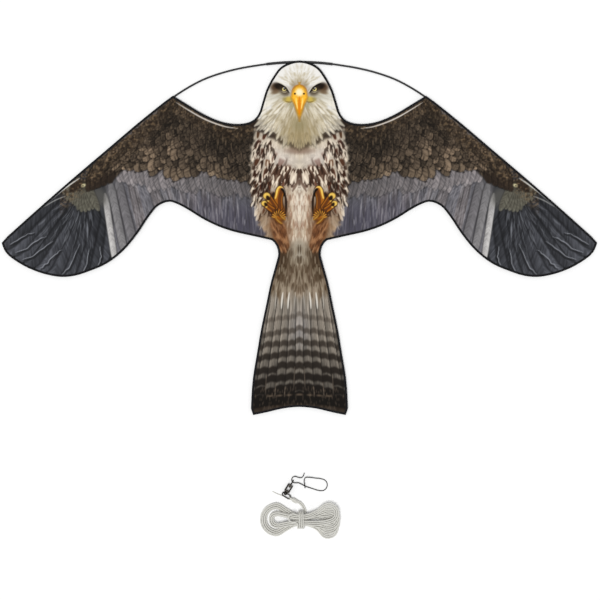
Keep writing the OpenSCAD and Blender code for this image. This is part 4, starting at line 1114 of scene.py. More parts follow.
def paint_beak(cloth, beak):
    """Gape and beak."""
    u, v = cloth.u, cloth.v
    cloth.marks(
        ((288.6, 99.4), (4.6, 2.7), (0.80, 0.69, 0.28), 0.85, -12, 0.6),
        ((284.4, 99.0), (2.2, 1.7), (0.56, 0.50, 0.30), 0.6, 0, 0.7),
        ([(284.5, 100.8), (289, 102.2), (293, 101.6)], 0.6, (0.46, 0.36, 0.14), 0.7),
        ((292.4, 105), (4, 2.6), (0.56, 0.54, 0.40), 0.55, -28, 0.7),
    )
    width = np.interp(v, [84.6, 86, 89, 93, 97, 101, 105, 110, 115, 119],
                      [0.4, 3.2, 5.8, 7.5, 8.2, 6.9, 4.7, 3.2, 1.8, 0.3])
    near = np.flatnonzero((v > 82) & (v < 122) & (u > 287))
    du = PRINT_AXIS - u[near]
    cut = width[near] - du
    cloth.lay(near, 0.6 * smooth_edge(cut + 0.9, 1.4), (0.55, 0.36, 0.11))
    glow = np.interp(v, [84, 90, 96, 104, 112, 119], [0.84, 1.0, 1.03, 1.0, 0.95, 0.84])
    tone = beak[None] * glow[near][:, None] * (0.92 + 0.16 * noise(du, v[near], 1.6, 41))[:, None]
    tone = tone * np.where(cut < 1.6, 0.9, 1.0)[:, None]
    cloth.lay(near, smooth_edge(cut, 1.0), tone)
    cloth.marks(
        ([(291.6, 92), (293.5, 88), (296.5, 85.6), (PRINT_AXIS, 84.8)], 0.7, (0.72, 0.45, 0.14), 0.7),
        ((PRINT_AXIS, 92.4), (3.8, 3.8), (1.0, 0.97, 0.84), 0.92, 0, 0.6),
        ((294.9, 93.8), (1.05, 0.9), (0.10, 0.06, 0.03), 0.95, 20, 0.35),
        ([(PRINT_AXIS, 96.5), (299.2, 105), (PRINT_AXIS, 115)], 1.3, (0.88, 0.50, 0.09), 0.85),
        ([(296.0, 97.5), (296.4, 102.5), (297.6, 109)], 0.7, (1.0, 0.90, 0.56), 0.8),
        ([(293.4, 99), (295, 104), (297.4, 111)], 0.5, (0.80, 0.50, 0.12), 0.6),
        ((PRINT_AXIS, 118), (1.2, 2.0), (0.74, 0.50, 0.22), 0.6, 0, 0.6),
        ((PRINT_AXIS, 124.5), (6.5, 6), (0.55, 0.51, 0.37), 0.55, 0, 0.9),
    )


def print_colours(x, y):
    """Linear colours of the print at points of the cloth, in millimetres."""
    ink, rng = settings("print"), np.random.default_rng(PRINT_SEED)
    cloth = Plumage(x, y)
    paint_wings(cloth, ink, rng)
    paint_breast(cloth, ink, rng)
    paint_tail(cloth, ink, rng)
    paint_head(cloth, ink, rng)
    rgb = np.clip(cloth.rgb, 0.004, 1)
    return np.where(rgb < 0.04045, rgb / 12.92, ((rgb + 0.055) / 1.055) ** 2.4)


# The line's route, as the part's source winds it, in millimetres about the hank's middle

# The cord's diameter, the steps of a loop, the turns in a layer and the layers
CORD, LOOP_STEPS, TURNS, LAYERS = 2.6, 24, 3, 4
# How far a layer lies above the one below, and the degrees that its right end is turned by
LAYER_RISE, LAYER_FAN = CORD + 0.8, (-18, -8, 2, 13)
# The hank's waist, its two ends and the radii of its lobes
WAIST_X, WAIST_Y, LEFT_END, RIGHT_END = 9, 10.0, 75, 73
LEFT_LOBE, INNER_LOBE, RIGHT_LOBE = 29.0, 16.2, 19
# The hank's middle in the frame, and the level and heading of the ring and the knot
LINE_AT = np.array([3.0, -520.5, 0.0])
HARD_Z, HARD_TURN = 4.0, math.radians(-31.2)
ALONG = np.array([math.cos(HARD_TURN), math.sin(HARD_TURN), 0.0])
ACROSS = np.array([-math.sin(HARD_TURN), math.cos(HARD_TURN), 0.0])
RING_AT, RING_LEN = np.array([-27.0, 44.0, HARD_Z]), 17.0
KNOT_FROM, KNOT_LEN, KNOT_TURNS = 3.5, 11.7, 5
# Radii of the ring's wire, of the knot's turns and of the knot's core
RING_WIRE_R, KNOT_R, CORE_R = 0.9, 2.75, 1.9
RING_END = RING_AT + ALONG * RING_LEN / 2
KNOT_END = RING_END + ALONG * (KNOT_FROM + KNOT_LEN)
# The snap swivel's nodes, its wire's diameter and the wire's far bend in the frame
SNAP_NODES = ("line_ring", "swivel_frame", "swivel_eye", "snap_wire", "snap_lock")
SNAP_WIRE, SNAP_BEND = 1.6, np.array([51.37, -459.26, 0.8])
# The way from the hank's end to the wrap, in diameters, and from the wrap to the knot, in shares
LINK_SHARES = ((-1.346, 0.615, 0.346), (-2.769, 0.731, 0.808), (-4.615, -0.231, 1.192),
               (-5.385, -2.154, 1.385), (-4.692, -4, 1.423), (-3, -5, 1.423), (-1, -5.154, 1.385),
               (0.615, -5.923, 1.385))
LEAD_SHARES = ((0, 0.135, 0), (0, 0.337, 0), (0, 0.539, 0.037), (0.17, 0.707, 0.26), (0.511, 0.859, 0.63))


def wrap_route():
    """The three and a half turns round the waist, over rounded corners."""
    low, y = CORD / 2, WAIST_Y + CORD + 2.8
    high = CORD / 2 + (LAYERS - 1) * LAYER_RISE + 2 * CORD + 2
    r, mid = 7.4, (low + high) / 2

    def corner(side, level, first):
        a = np.radians(np.linspace(first, first + 90, 5))
        c = (side * (y - r), mid + level * ((high - low) / 2 - r))
        return [(c[0] + r * math.cos(t), c[1] + r * math.sin(t)) for t in a]

    far = corner(-1, 1, 90) + corner(-1, -1, 180) + [(0, low)]
    near = corner(1, -1, 270) + corner(1, 1, 0) + [(0, high)]
    turns = far + (near + far) * 3
    return np.array([(-6 + (CORD + 0.7) * i / 22, *p) for i, p in enumerate(turns)])


def hank_route():
    """Two layers of wide loops, two of narrow ones that settle inside them, then the link to the wrap."""
    r, steps = CORD / 2, LOOP_STEPS // 3 - 1
    left, right = LEFT_END - r - LEFT_LOBE, RIGHT_END - r - RIGHT_LOBE
    k = np.arange(steps + 1) * math.pi / steps
    over = np.array([[WAIST_X, -WAIST_Y], [(WAIST_X + right) / 2, -(WAIST_Y + RIGHT_LOBE) / 2]])
    bulge = np.stack([right + RIGHT_LOBE * np.sin(k), -RIGHT_LOBE * np.cos(k)], 1)
    loops = []
    for lobe in (LEFT_LOBE, INNER_LOBE):
        back = np.array([[-WAIST_X, WAIST_Y], [-(WAIST_X + left) / 2, (WAIST_Y + lobe) / 2]])
        flat = np.vstack([
            over, bulge, over[::-1] * (1, -1),
            back, np.stack([-left - lobe * np.sin(k), lobe * np.cos(k)], 1), back[::-1] * (1, -1),
        ])
        loops.append((flat, offset(flat, 1.0) - flat))
    pts = []
    for i in range(int(LOOP_STEPS * (LAYERS * TURNS - 0.5)) + 1):
        layer = min(LAYERS - 1, int(i / LOOP_STEPS / TURNS))
        turn = i / LOOP_STEPS - layer * TURNS
        drawn = turn if turn < TURNS - 0.25 else 2 * TURNS - 0.5 - turn
        drawn = drawn if layer % 2 == 0 else TURNS - 0.5 - drawn
        flat, inward = loops[layer // 2]
        p = flat[i % LOOP_STEPS] + (CORD + 0.68) * drawn * inward[i % LOOP_STEPS]
        a = math.radians(LAYER_FAN[layer]) * float(ease((p[0] - WAIST_X) / 45))
        climb = float(ease((turn - (TURNS - 0.5)) / 0.5))
        hump = (CORD + 1) * (1 - float(ease((abs(p[0]) - WAIST_X) / 22)))
        sink = 2 * (layer // 2) * float(ease((-p[0] - left) / 18))
        pts.append([p[0] * math.cos(a) - p[1] * math.sin(a), p[0] * math.sin(a) + p[1] * math.cos(a),
                    r + (layer + climb - sink) * LAYER_RISE + hump])
    top = np.array(pts[-1])
    return np.array(pts + [top + CORD * np.array(q) for q in LINK_SHARES])


def line_route():
    """From the knot through the free stretch, the wrap and the hank to the bare end, in metres."""
    wrap = wrap_route()
    hank = hank_route()
    end = KNOT_END + 1.5 * CORD * ALONG
    lead = [wrap[-1] + (end - wrap[-1]) * q for q in LEAD_SHARES]
    path = smooth_path(np.vstack([[KNOT_END], [end], lead[::-1], wrap[::-1], hank[::-1]]), 7)
    path[:, 2] = np.maximum(path[:, 2], CORD / 2)
    return (path + LINE_AT) * MM


# Operators


class KITE_OT_stage(bpy.types.Operator):
    """Camera straight above the kite, even light and a white floor"""

    bl_idname = "kite.stage"
    bl_label = "Stage"

    def execute(self, context):
        s = settings("stage")
        scene = context.scene
        scene.view_settings.view_transform = "Standard"
        cam = bpy.data.objects.new("camera", bpy.data.cameras.new("camera"))
        cam.data.lens, cam.data.sensor_width = s.lens, 36.0
        cam.location = (*CAMERA_OVER, s.height)
        cam.data.clip_start, cam.data.clip_end = 0.05, 50
        scene.collection.objects.link(cam)
        scene.camera = cam
        world = bpy.data.worlds.new("even_light")
        world.use_nodes = True
        scene.world = world
        tree = world.node_tree
        back = tree.nodes["Background"]
        back.inputs["Color"].default_value = (1, 1, 1, 1)
        ray = tree.nodes.new("ShaderNodeLightPath")
        seen = math_node(tree, "MAXIMUM", ray.outputs["Is Camera Ray"], ray.outputs["Is Glossy Ray"])
        seen = math_node(tree, "MAXIMUM", seen, ray.outputs["Is Transmission Ray"])
        tree.links.new(math_node(tree, "MULTIPLY_ADD", seen, 1 - s.sky, s.sky), back.inputs["Strength"])
        lamp = bpy.data.objects.new("slanting_light", bpy.data.lights.new("slanting_light", "SUN"))
        lamp.data.energy, lamp.data.angle = s.lamp, math.radians(25)
        lamp.rotation_euler = (math.radians(11), math.radians(-8), 0)
        scene.collection.objects.link(lamp)
        mat, tree, bsdf = shader("white_floor")
        bsdf.inputs["Base Color"].default_value = (1.0, 1.0, 1.0, 1)
        bsdf.inputs["Roughness"].default_value = 0.9
        bsdf.inputs["Specular IOR Level"].default_value = 0.0
        floor = piece("floor", [(-6, -6, -0.0002), (6, -6, -0.0002), (6, 6, -0.0002), (-6, 6, -0.0002)],
                      [(0, 1, 2, 3)], mat)
        return {"FINISHED"}


class KITE_OT_line(bpy.types.Operator):
    """Hanked line with its knot on the ring"""

    bl_idname = "kite.line"
    bl_label = "Line"

    def execute(self, context):
        s = settings("line")
        path = line_route()
        verts, faces, uv = tube(path, s.diameter / 2, s.sides)
        line = piece("braided_line", verts, faces, FINISHES["line"], uv=uv)
        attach(line, "line_set")
        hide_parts("line_hank", "line_wrap", "line_lead")
        knot = self.knot(s)
        with_pieces = [knot, self.bend(), *(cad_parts[n] for n in SNAP_NODES)]
        return {"FINISHED"}

    def bend(self):
        """The short bend that joins the snap's wire and its spring leg, where that leg turns."""
        ends = []
        for node in ("snap_wire", "snap_lock"):
            co = np.array([v.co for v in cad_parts[node].data.vertices])
            ends.append(co[np.linalg.norm(co - SNAP_BEND * MM, axis=1) < 1.5 * MM].mean(axis=0))
        path = [ends[0] + (ends[1] - ends[0]) * x for x in np.linspace(-0.4, 1.0, 5)]
        verts, faces, uv = tube(np.array(path), SNAP_WIRE / 2 * MM, 16)
        obj = piece("snap_bend", verts, faces, FINISHES["nickel"], uv=uv)
        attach(obj, "snap")
        return obj

    def knot(self, s):
        """A bight round the ring, held by five turns, its tail under the wrap, and a loose end."""
        r, up = CORD / 2 * 0.98, np.array([0, 0, 1.0])
        bail = RING_WIRE_R + CORD / 2 + 0.1
        a = np.radians(np.linspace(90, 270, 13))
        bight = [RING_END + ALONG * bail * math.cos(x) + up * bail * math.sin(x) for x in a]
        start = [RING_END + ALONG * x + up * bail for x in (9.0, 6.0, 3.0, 1.2)]
        close = [RING_END + ALONG * x - up * bail for x in (1.2, 3.0, 6.0, 9.0)]
        strands = tube((smooth_path(start + bight + close, 3) + LINE_AT) * MM, r * MM, 10)
        t = np.linspace(0, KNOT_TURNS, KNOT_TURNS * 20 + 1)
        rib = KNOT_LEN / KNOT_TURNS
        coil = [RING_END + ALONG * (KNOT_FROM + rib / 2 + (KNOT_LEN - rib) * x / KNOT_TURNS)
                + KNOT_R * (ACROSS * math.cos(2 * math.pi * x) + up * math.sin(2 * math.pi * x)) for x in t]
        turns = tube((np.array(coil) + LINE_AT) * MM, rib / 2 * 0.98 * MM, 10)
        core = tube(np.array([RING_END + ALONG * (KNOT_FROM + x) + LINE_AT
                              for x in np.linspace(0.6, KNOT_LEN, 8)]) * MM, CORE_R * MM, 10)
        tail = [KNOT_END - 2 * ALONG + ACROSS, (-4, 33.2, 3.6), (1.5, 29.5, 2.6), (6, 23.5, 1.6),
                (8.4, 17.5, 1.3), (8.6, 13, 1.3)]
        tail = tube((smooth_path(tail, 6) + LINE_AT) * MM, r * MM, 10)
        ways = ((3, -2, 1.8), (-3, -3.6, 3), (-13, -3.9, 3), (-21, -5.8, 3.1), (-34, -6.9, 3.1))
        loose = [RING_END + a * ALONG + b * ACROSS - c * up for a, b, c in ways]
        loose = tube((smooth_path(loose, 6) + LINE_AT) * MM, 0.32 * CORD * MM, 10)
        parts = (strands, turns, core, tail, loose)
        verts, faces = merged(*(part[:2] for part in parts))
        obj = piece("line_knot_turns", verts, faces, FINISHES["line"],
                    uv=np.vstack([part[2] for part in parts]))
        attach(obj, "line_set")
        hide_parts("line_knot")
        return obj


class KITE_OT_snap_swivel(bpy.types.Operator):
    """Ring, swivel and snap in black nickel"""

    bl_idname = "kite.snap_swivel"
    bl_label = "Snap Swivel"

    def execute(self, context):
        for node in SNAP_NODES:
            dress(node, "nickel")
        return {"FINISHED"}


class KITE_OT_sail(bpy.types.Operator):
    """Printed cloth in three runs: the middle, and a wing on each side that flexes"""

    bl_idname = "kite.sail"
    bl_label = "Sail"

    def execute(self, context):
        s = settings("sail")
        edge = sail_edge()
        cut = offset(edge, 1.0)
        head, rest = s.head_pitch / MM, s.sail_pitch / MM
        low, top = edge[:, 1].min(), edge[:, 1].max()
        wing_y = np.arange(low, top + rest, rest)
        body_y = np.concatenate([np.arange(low, HEAD_FROM, rest), np.arange(HEAD_FROM, top + head, head)])
        wing_x = np.arange(FLEX_FROM, edge[:, 0].max() + rest, rest)
        tail_x = wing_x[(wing_x > FLEX_FROM) & (wing_x < TAIL_REACH)]
        body_x = np.concatenate([-tail_x[::-1],
                                 np.linspace(-FLEX_FROM, FLEX_FROM, 2 * int(FLEX_FROM / head) + 1),
                                 tail_x])
        self.cloth("sail_middle", cut, body_x, body_y, in_middle, "sail_body", None)
        for side, hand in ((-1, "left"), (1, "right")):
            self.cloth(f"sail_{hand}_wing", cut, np.sort(side * wing_x), wing_y, on_wing,
                       f"{hand}_wing_sail", hand)
        return {"FINISHED"}

    def cloth(self, name, cut, xs, ys, part, node, hand):
        """One run of cloth: a fine printed face, a coarser back and a closed rim."""
        s = settings("sail")
        gx, gy = np.meshgrid(xs, ys)
        keep = inside(cut, gx.ravel(), gy.ravel()).reshape(gx.shape) & part(gx, gy)
        cell = keep[:-1, :-1] & keep[1:, :-1] & keep[:-1, 1:] & keep[1:, 1:]
        used = np.zeros(gx.shape, bool)
        for dy in (0, 1):
            for dx in (0, 1):
                used[dy:used.shape[0] - 1 + dy, dx:used.shape[1] - 1 + dx] |= cell
        number = np.full(gx.shape, -1)
        number[used] = np.arange(used.sum())
        x, y = gx[used], gy[used]
        a, b = number[:-1, :-1][cell], number[:-1, 1:][cell]
        c, d = number[1:, 1:][cell], number[1:, :-1][cell]
        quads = np.stack([a, b, c, d], 1)
        under = self.coarse(cell, number)
        ends = {(i, j) for q in quads.tolist() for i, j in zip(q, q[1:] + q[:1])}
        rim = [(i, j) for i, j in ends if (j, i) not in ends]
        held = np.unique([i for face in under for i in face])
        at = np.full(len(x), -1)
        at[held] = np.arange(len(held)) + len(x)
        slack = self.slack(x, y) * s.ripple / MM
        front = np.stack([x, y, CLOTH_TOP + slack], 1)
        back = np.stack([x, y, CLOTH_LOW + slack], 1)[held]
        faces = quads.tolist() + [at[face[::-1]].tolist() for face in under]
        faces += [[j, i, int(at[i]), int(at[j])] for i, j in sorted(rim)]
        obj = piece(name, np.vstack([front, back]) * MM, faces, FINISHES["sail"])
        rgb = print_colours(x, y)
        shown = (rgb * s.show_through + (1 - s.show_through) * np.array([0.55, 0.54, 0.52]))[held]
        layer = obj.data.color_attributes.new("print", "FLOAT_COLOR", "POINT")
        ink = np.vstack([rgb, shown])
        layer.data.foreach_set("color", np.hstack([ink, np.ones((len(ink), 1))]).astype(np.float32).ravel())
        if hand:
            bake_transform(obj)
        else:
            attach(obj, "body")
        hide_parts(node)

    def coarse(self, cell, number):
        """The same cells, each full block of four as one face that keeps its neighbours' points."""
        rows, cols = (n + n % 2 for n in cell.shape)
        room = np.zeros((rows + 4, cols + 4), bool)
        room[2:2 + cell.shape[0], 2:2 + cell.shape[1]] = cell
        full = room[0::2, 0::2] & room[1::2, 0::2] & room[0::2, 1::2] & room[1::2, 1::2]
        faces = []
        for m, n in np.argwhere(full):
            i, j = 2 * m - 2, 2 * n - 2
            ring = [(i, j, True), (i, j + 1, not full[m - 1, n]), (i, j + 2, True),
                    (i + 1, j + 2, not full[m, n + 1]), (i + 2, j + 2, True),
                    (i + 2, j + 1, not full[m + 1, n]), (i + 2, j, True), (i + 1, j, not full[m, n - 1])]
            faces.append(np.array([number[r, q] for r, q, kept in ring if kept]))
        single = cell.copy()
        taken = np.repeat(np.repeat(full, 2, 0), 2, 1)[2:2 + cell.shape[0], 2:2 + cell.shape[1]]
        single[taken] = False
        for i, j in np.argwhere(single):
            faces.append(np.array([number[i, j], number[i, j + 1], number[i + 1, j + 1], number[i + 1, j]]))
        return faces

    def slack(self, x, y):
        """Share of the slack at each point: none along the edges, soft folds between them."""
        edge = sail_edge()
        tree = KDTree(len(edge))
        for i, (ex, ey) in enumerate(edge):
            tree.insert((ex, ey, 0), i)
        tree.balance()
        far = np.array([tree.find((a, b, 0))[2] for a, b in zip(x, y)])
        fold = 0.6 * noise(np.abs(x) + 0.5 * y, y, 62, 5) + 0.4 * noise(np.abs(x) - 0.3 * y, y * 0.4, 27, 6)
        return ease((far - 6) / 34) * ease((fold - 0.2) / 0.7)


class KITE_OT_tape(bpy.types.Operator):
    """Folded edge tape with its row of stitches"""

    bl_idname = "kite.tape"
    bl_label = "Edge Tape"

    def execute(self, context):
        s = settings("tape")
        edge = sail_edge()
        fine = []
        for a, b in zip(edge, np.roll(edge, -1, axis=0)):
            n = max(1, int(np.ceil(np.linalg.norm(b - a) / TAPE_STEP)))
            fine += [a + (b - a) * k / n for k in range(n)]
        edge = np.array(fine)
        over = s.overlap / MM
        profile = [(over, 6.27), (over, 6.5), (over - 0.5, TAPE_TOP), (0.35, TAPE_TOP), (-0.12, 6.45),
                   (-0.33, 6.05), (-0.12, 5.65), (0.35, TAPE_LOW), (over - 0.5, TAPE_LOW), (over, 5.6),
                   (over, 5.83), (0.2, 5.83), (0.2, 6.27)]
        rails = np.stack([np.column_stack([offset(edge, d), np.full(len(edge), z)]) for d, z in profile], 1)
        wing = on_wing(edge[:, 0], edge[:, 1])
        start = next(i for i in range(len(edge)) if wing[i] != wing[i - 1])
        order = [(start + k) % len(edge) for k in range(len(edge))] + [start]
        runs, run = [], [order[0]]
        for i, j in zip(order, order[1:]):
            run.append(j)
            if wing[j] != wing[i]:
                runs.append((bool(wing[i]), run))
                run = [j]
        if len(run) > 1:
            runs.append((bool(wing[run[0]]), run))
        row = offset(edge, over - STITCH_INSET)
        for winged, ids in runs:
            mid = edge[ids[len(ids) // 2]]
            hand = "right_wing" if mid[0] > 0 else "left_wing"
            name = hand if winged else ("head" if mid[1] > 0 else "tail")
            band = self.band(f"{name}_tape", rails[ids])
            path = np.column_stack([row[ids], np.full(len(ids), TAPE_TOP)]) * MM
            sewn = stitch_row(f"{name}_stitches", path, s)
            for obj in (band, sewn):
                if winged:
                    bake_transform(obj)
                else:
                    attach(obj, "body")
            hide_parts(f"{name}_binding")
        return {"FINISHED"}

    def band(self, name, rails):
        """The tape's folded profile along one run of the edge."""
        faces = ring_faces(*rails.shape[:2])
        return piece(name, rails.reshape(-1, 3) * MM, faces, FINISHES["tape"], smooth=False)


def stitch_tree():
    """Stitches laid end to end along a drawn row."""
    tree = bpy.data.node_groups.new("stitch_row", "GeometryNodeTree")
    face = tree.interface
    face.new_socket("Geometry", in_out="INPUT", socket_type="NodeSocketGeometry")
    for label, value in (("Pitch", 0.0029), ("Stitch", 0.002), ("Thread", 0.00028)):
        face.new_socket(label, in_out="INPUT", socket_type="NodeSocketFloat").default_value = value
    face.new_socket("Material", in_out="INPUT", socket_type="NodeSocketMaterial")
    face.new_socket("Geometry", in_out="OUTPUT", socket_type="NodeSocketGeometry")
    given, out = tree.nodes.new("NodeGroupInput"), tree.nodes.new("NodeGroupOutput")
    row = tree.nodes.new("GeometryNodeMeshToCurve")
    dots = tree.nodes.new("GeometryNodeCurveToPoints")
    dots.mode = "LENGTH"
    bead = tree.nodes.new("GeometryNodeMeshUVSphere")
    bead.inputs["Segments"].default_value, bead.inputs["Rings"].default_value = 6, 5
    bead.inputs["Radius"].default_value = 0.5
    size = tree.nodes.new("ShaderNodeCombineXYZ")
    place = tree.nodes.new("GeometryNodeInstanceOnPoints")
    real = tree.nodes.new("GeometryNodeRealizeInstances")
    coat = tree.nodes.new("GeometryNodeSetMaterial")
    link = tree.links.new
    link(given.outputs["Geometry"], row.inputs["Mesh"])
    link(row.outputs["Curve"], dots.inputs["Curve"])
    link(given.outputs["Pitch"], dots.inputs["Length"])
    for axis, label in (("X", "Thread"), ("Y", "Thread"), ("Z", "Stitch")):
        link(given.outputs[label], size.inputs[axis])
    link(dots.outputs["Points"], place.inputs["Points"])
    link(bead.outputs["Mesh"], place.inputs["Instance"])
    link(dots.outputs["Rotation"], place.inputs["Rotation"])
    link(size.outputs[0], place.inputs["Scale"])
    link(place.outputs["Instances"], real.inputs["Geometry"])
    link(real.outputs["Geometry"], coat.inputs["Geometry"])
    link(given.outputs["Material"], coat.inputs["Material"])
    link(coat.outputs["Geometry"], out.inputs["Geometry"])
    return tree


def stitch_row(name, path, s):
    """The stitches along a path in metres, as a plain mesh."""
    if "stitches" not in GROUPS:
        GROUPS["stitches"] = stitch_tree()
    mesh = bpy.data.meshes.new(name + "_row")
    mesh.from_pydata(path.tolist(), [(i, i + 1) for i in range(len(path) - 1)], [])
    guide = bpy.data.objects.new(name + "_row", mesh)
    bpy.context.scene.collection.objects.link(guide)
    mod = guide.modifiers.new("stitches", "NODES")
    mod.node_group = GROUPS["stitches"]
    values = {"Pitch": s.stitch_pitch, "Stitch": s.stitch, "Thread": s.thread,
              "Material": FINISHES["thread"]}
    for item in GROUPS["stitches"].interface.items_tree:
        if item.in_out == "INPUT" and item.name in values:
            mod[item.identifier] = values[item.name]
    bpy.context.view_layer.update()
    made = bpy.data.meshes.new_from_object(guide.evaluated_get(bpy.context.evaluated_depsgraph_get()))
    bpy.data.objects.remove(guide)
    made.name = name
    obj = bpy.data.objects.new(name, made)
    bpy.context.scene.collection.objects.link(obj)
    return obj


def bow_route():
    """The right half of the bow, from the middle to the rod's end, in millimetres."""
    def at(p):
        return np.array([p[0], BOW_TOP - p[1], ROD_Z])

    def bow(x):
        return np.array([x, BOW_INSET + BOW_R * (1 - math.cos(math.asin(x / BOW_R)))])

    wrist, tip = np.array([232.5, 67.0]), np.array([550.0, 337.0])
    end, start = wrist + (tip - wrist) * 0.959, bow(80.3)
    inner = [start + (wrist - start) * q
             for q in ((0.14, 0.06), (0.44, 0.255), (0.625, 0.43), (0.81, 0.68))]
    outer = [wrist + (end - wrist) * q for q in ((0.14, 0.127), (0.4, 0.384), (0.667, 0.652))]
    flexed = smooth_path([bow(40.15), start, *inner, wrist, *outer, end], 3)[3:]
    arc = [bow(x) for x in np.arange(1, 80, 4.0)]
    return np.array([at(p) for p in [*arc, *flexed]]), len(arc) + 15


class KITE_OT_spars(bpy.types.Operator):
    """Bowed rods with their ferrule, sleeves, caps and pockets"""

    bl_idname = "kite.spars"
    bl_label = "Spars"

    def execute(self, context):
        path, wrist = bow_route()
        dress("spar_ferrule", "rod")
        for node in ("left_spar_cap", "right_spar_cap", "spine_head_cap", "spine_tail_cap"):
            dress(node, "plastic")
        for side, hand in ((-1, "left"), (1, "right")):
            rail = path * (side, 1, 1)
            v, f, uv = tube(smooth_path(rail, 4) * MM, ROD_R * MM, 16)
            rod = piece(f"{hand}_bow_rod", v, f, FINISHES["rod"], uv=uv)
            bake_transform(rod)
            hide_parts(f"{hand}_rod_butt", f"{hand}_spar_rod")
            out = rail[-1] - rail[-2]
            out /= np.linalg.norm(out)
            sleeve = np.vstack([rail[wrist + 1:-1], rail[-1] + SLEEVE_TO * out])
            self.sleeve(f"{hand}_sleeve", smooth_path(sleeve, 5), f"{hand}_wing", f"{hand}_spar_sleeve")
            pocket = np.array([rail[-1] + out * x for x in np.linspace(POCKET_FROM, POCKET_TO, 14)])
            self.sleeve(f"{hand}_pocket", pocket, f"{hand}_wing", f"{hand}_tip_pocket")
        return {"FINISHED"}

    def sleeve(self, name, path, body, node):
        """A sewn tube with puckers along it."""
        run = np.concatenate([[0], np.cumsum(np.linalg.norm(np.diff(path, axis=0), axis=1))])
        r = SLEEVE_R + 0.05 * np.sin(run * 0.9) * np.sin(run * 0.23)
        v, f, uv = tube(path * MM, r * MM, 20, ends="flat")
        obj = piece(name, v, f, FINISHES["tape"], uv=uv)
        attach(obj, body)
        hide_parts(node)


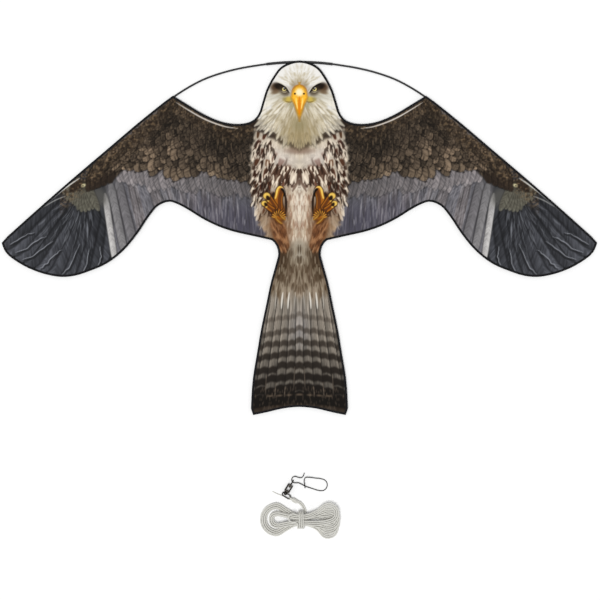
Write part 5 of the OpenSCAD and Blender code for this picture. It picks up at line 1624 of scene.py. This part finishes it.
class KITE_OT_spine(bpy.types.Operator):
    """Spine rod with its sewn loops and pockets, the head tab and the tow point"""

    bl_idname = "kite.spine"
    bl_label = "Spine and Tow Point"

    def execute(self, context):
        dress("spine_rod", "rod")
        dress("tow_eyelet", "eyelet")
        for node, name in (("spine_head_pocket", "spine_top_pocket"),
                           ("spine_tail_pocket", "spine_foot_pocket")):
            lo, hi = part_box(node)
            self.strap(name, [(lo[1] / MM, hi[1] / MM)], node)
        lo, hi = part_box("spine_loops")
        span = (hi[1] - lo[1]) / MM
        starts = [lo[1] / MM + (span - LOOP_WIDE) * k / 2 for k in range(3)]
        self.strap("spine_straps", [(y, y + LOOP_WIDE) for y in starts], "spine_loops")
        self.tab()
        self.head_tab()
        return {"FINISHED"}

    def strap(self, name, spans, node):
        """Webbing sewn to the cloth on both sides of the spine."""
        a = np.radians(np.linspace(35, -215, 27))
        bow = [(POCKET_R * math.cos(x), ROD_Z + POCKET_R * math.sin(x)) for x in a]
        outer = [(5.5, 5.78), (5.5, 5.45), (3.4, 5.4), *bow, (-3.4, 5.4), (-5.5, 5.45), (-5.5, 5.78)]
        inner = [(POCKET_BORE * math.cos(x), ROD_Z + POCKET_BORE * math.sin(x)) for x in a[::-1]]
        profile = outer + [(-3.0, 5.78), *inner, (3.0, 5.78)]
        parts = []
        for low, high in spans:
            ys = np.linspace(low + 0.05, high - 0.05, max(3, int((high - low) / 2)))
            verts = [(x + 0.06 * math.sin(y * 1.3 + x), y, z) for y in ys for x, z in profile]
            parts.append((np.array(verts) * MM, ring_faces(len(ys), len(profile))))
        obj = piece(name, *merged(*parts), FINISHES["webbing"], smooth=False)
        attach(obj, "body")
        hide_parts(node)

    def tab(self):
        """The towing tab: folded webbing with a round end and a hole for its eyelet."""
        hinge_y, hinge_z, thick, wide, run, bore = 300.0, 4.5, 1.2, 14.0, 11.0, 3.62
        a = np.radians(np.linspace(0, 360, 49)[:-1])
        hole = np.stack([bore * np.cos(a), run + bore * np.sin(a)], 1)
        rim = []
        for x in a:
            c, s = math.cos(x), math.sin(x)
            if s >= 0:
                rim.append((wide / 2 * c, run + wide / 2 * s))
            else:
                k = min(wide / 2 / max(abs(c), 1e-6), run / abs(s))
                rim.append((k * c, run + k * s))
        rim = np.array(rim)
        layers, m = [], len(a)
        for level, inset in ((thick / 2 - 0.1, 0.0), (thick / 2, 0.25), (thick / 2, None),
                             (-thick / 2, None), (-thick / 2, 0.25), (-thick / 2 + 0.1, 0.0)):
            flat = hole if inset is None else rim + (np.array([0, run]) - rim) * inset / (wide / 2)
            layers.append(np.column_stack([flat, np.full(m, level)]))
        verts = np.vstack(layers) + (0, hinge_y, hinge_z)
        faces = [[i % len(verts) for i in q] for q in ring_faces(len(layers) + 1, m, False)]
        obj = piece("tow_webbing_tab", verts * MM, faces, FINISHES["webbing"], smooth=False)
        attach(obj, "tow")
        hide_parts("tow_tab")

    def head_tab(self):
        """The loop of tape that ties the bow to the head."""
        r0, r1 = 2.43, 2.74
        xs = np.linspace(-3.95, 3.95, 9)
        a = np.radians(np.linspace(0, 360, 29)[:-1])
        top = BOW_TOP - BOW_INSET
        verts, m = [], len(a)
        for r in (r1, r0):
            for x in xs:
                drop = x * x / (2 * BOW_R)
                verts += [(x, top - drop + r * math.cos(t), ROD_Z + r * math.sin(t)) for t in a]
        n = len(xs)
        outer = ring_faces(n, m, False)
        faces = outer + [[n * m + i for i in q[::-1]] for q in outer]
        for i in (0, n - 1):
            for k in range(m):
                j = (k + 1) % m
                q = [i * m + k, n * m + i * m + k, n * m + i * m + j, i * m + j]
                faces.append(q if i == 0 else q[::-1])
        obj = piece("head_loop", np.array(verts) * MM, faces, FINISHES["tape"], smooth=False)
        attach(obj, "body")
        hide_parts("head_tab")


class KITE_PT_panel(bpy.types.Panel):
    """The kite's pieces and their settings"""

    bl_label = "Bird Scarer Kite"
    bl_idname = "KITE_PT_panel"
    bl_space_type = "VIEW_3D"
    bl_region_type = "UI"
    bl_category = "Kite"

    def draw(self, context):
        for kind, group in SETTINGS.items():
            box = self.layout.box()
            for name in group.__annotations__:
                box.prop(settings(kind), name)
        for op in OPERATORS:
            self.layout.operator(op.bl_idname)


SETTINGS = {
    "print": KitePrintSettings,
    "sail": KiteSailSettings,
    "tape": KiteTapeSettings,
    "line": KiteLineSettings,
    "stage": KiteStageSettings,
}
OPERATORS = (
    KITE_OT_stage,
    KITE_OT_line,
    KITE_OT_snap_swivel,
    KITE_OT_sail,
    KITE_OT_tape,
    KITE_OT_spars,
    KITE_OT_spine,
)


def register():
    for cls in (*SETTINGS.values(), *OPERATORS, KITE_PT_panel):
        bpy.utils.register_class(cls)
    for kind, group in SETTINGS.items():
        setattr(bpy.types.Scene, "kite_" + kind, PointerProperty(type=group))


def unregister():
    for kind in SETTINGS:
        delattr(bpy.types.Scene, "kite_" + kind)
    for cls in reversed((*SETTINGS.values(), *OPERATORS, KITE_PT_panel)):
        bpy.utils.unregister_class(cls)


def main():
    register()
    make_finishes()
    for op in OPERATORS:
        group, name = op.bl_idname.split(".")
        getattr(getattr(bpy.ops, group), name)()


if __name__ == "__main__":
    main()
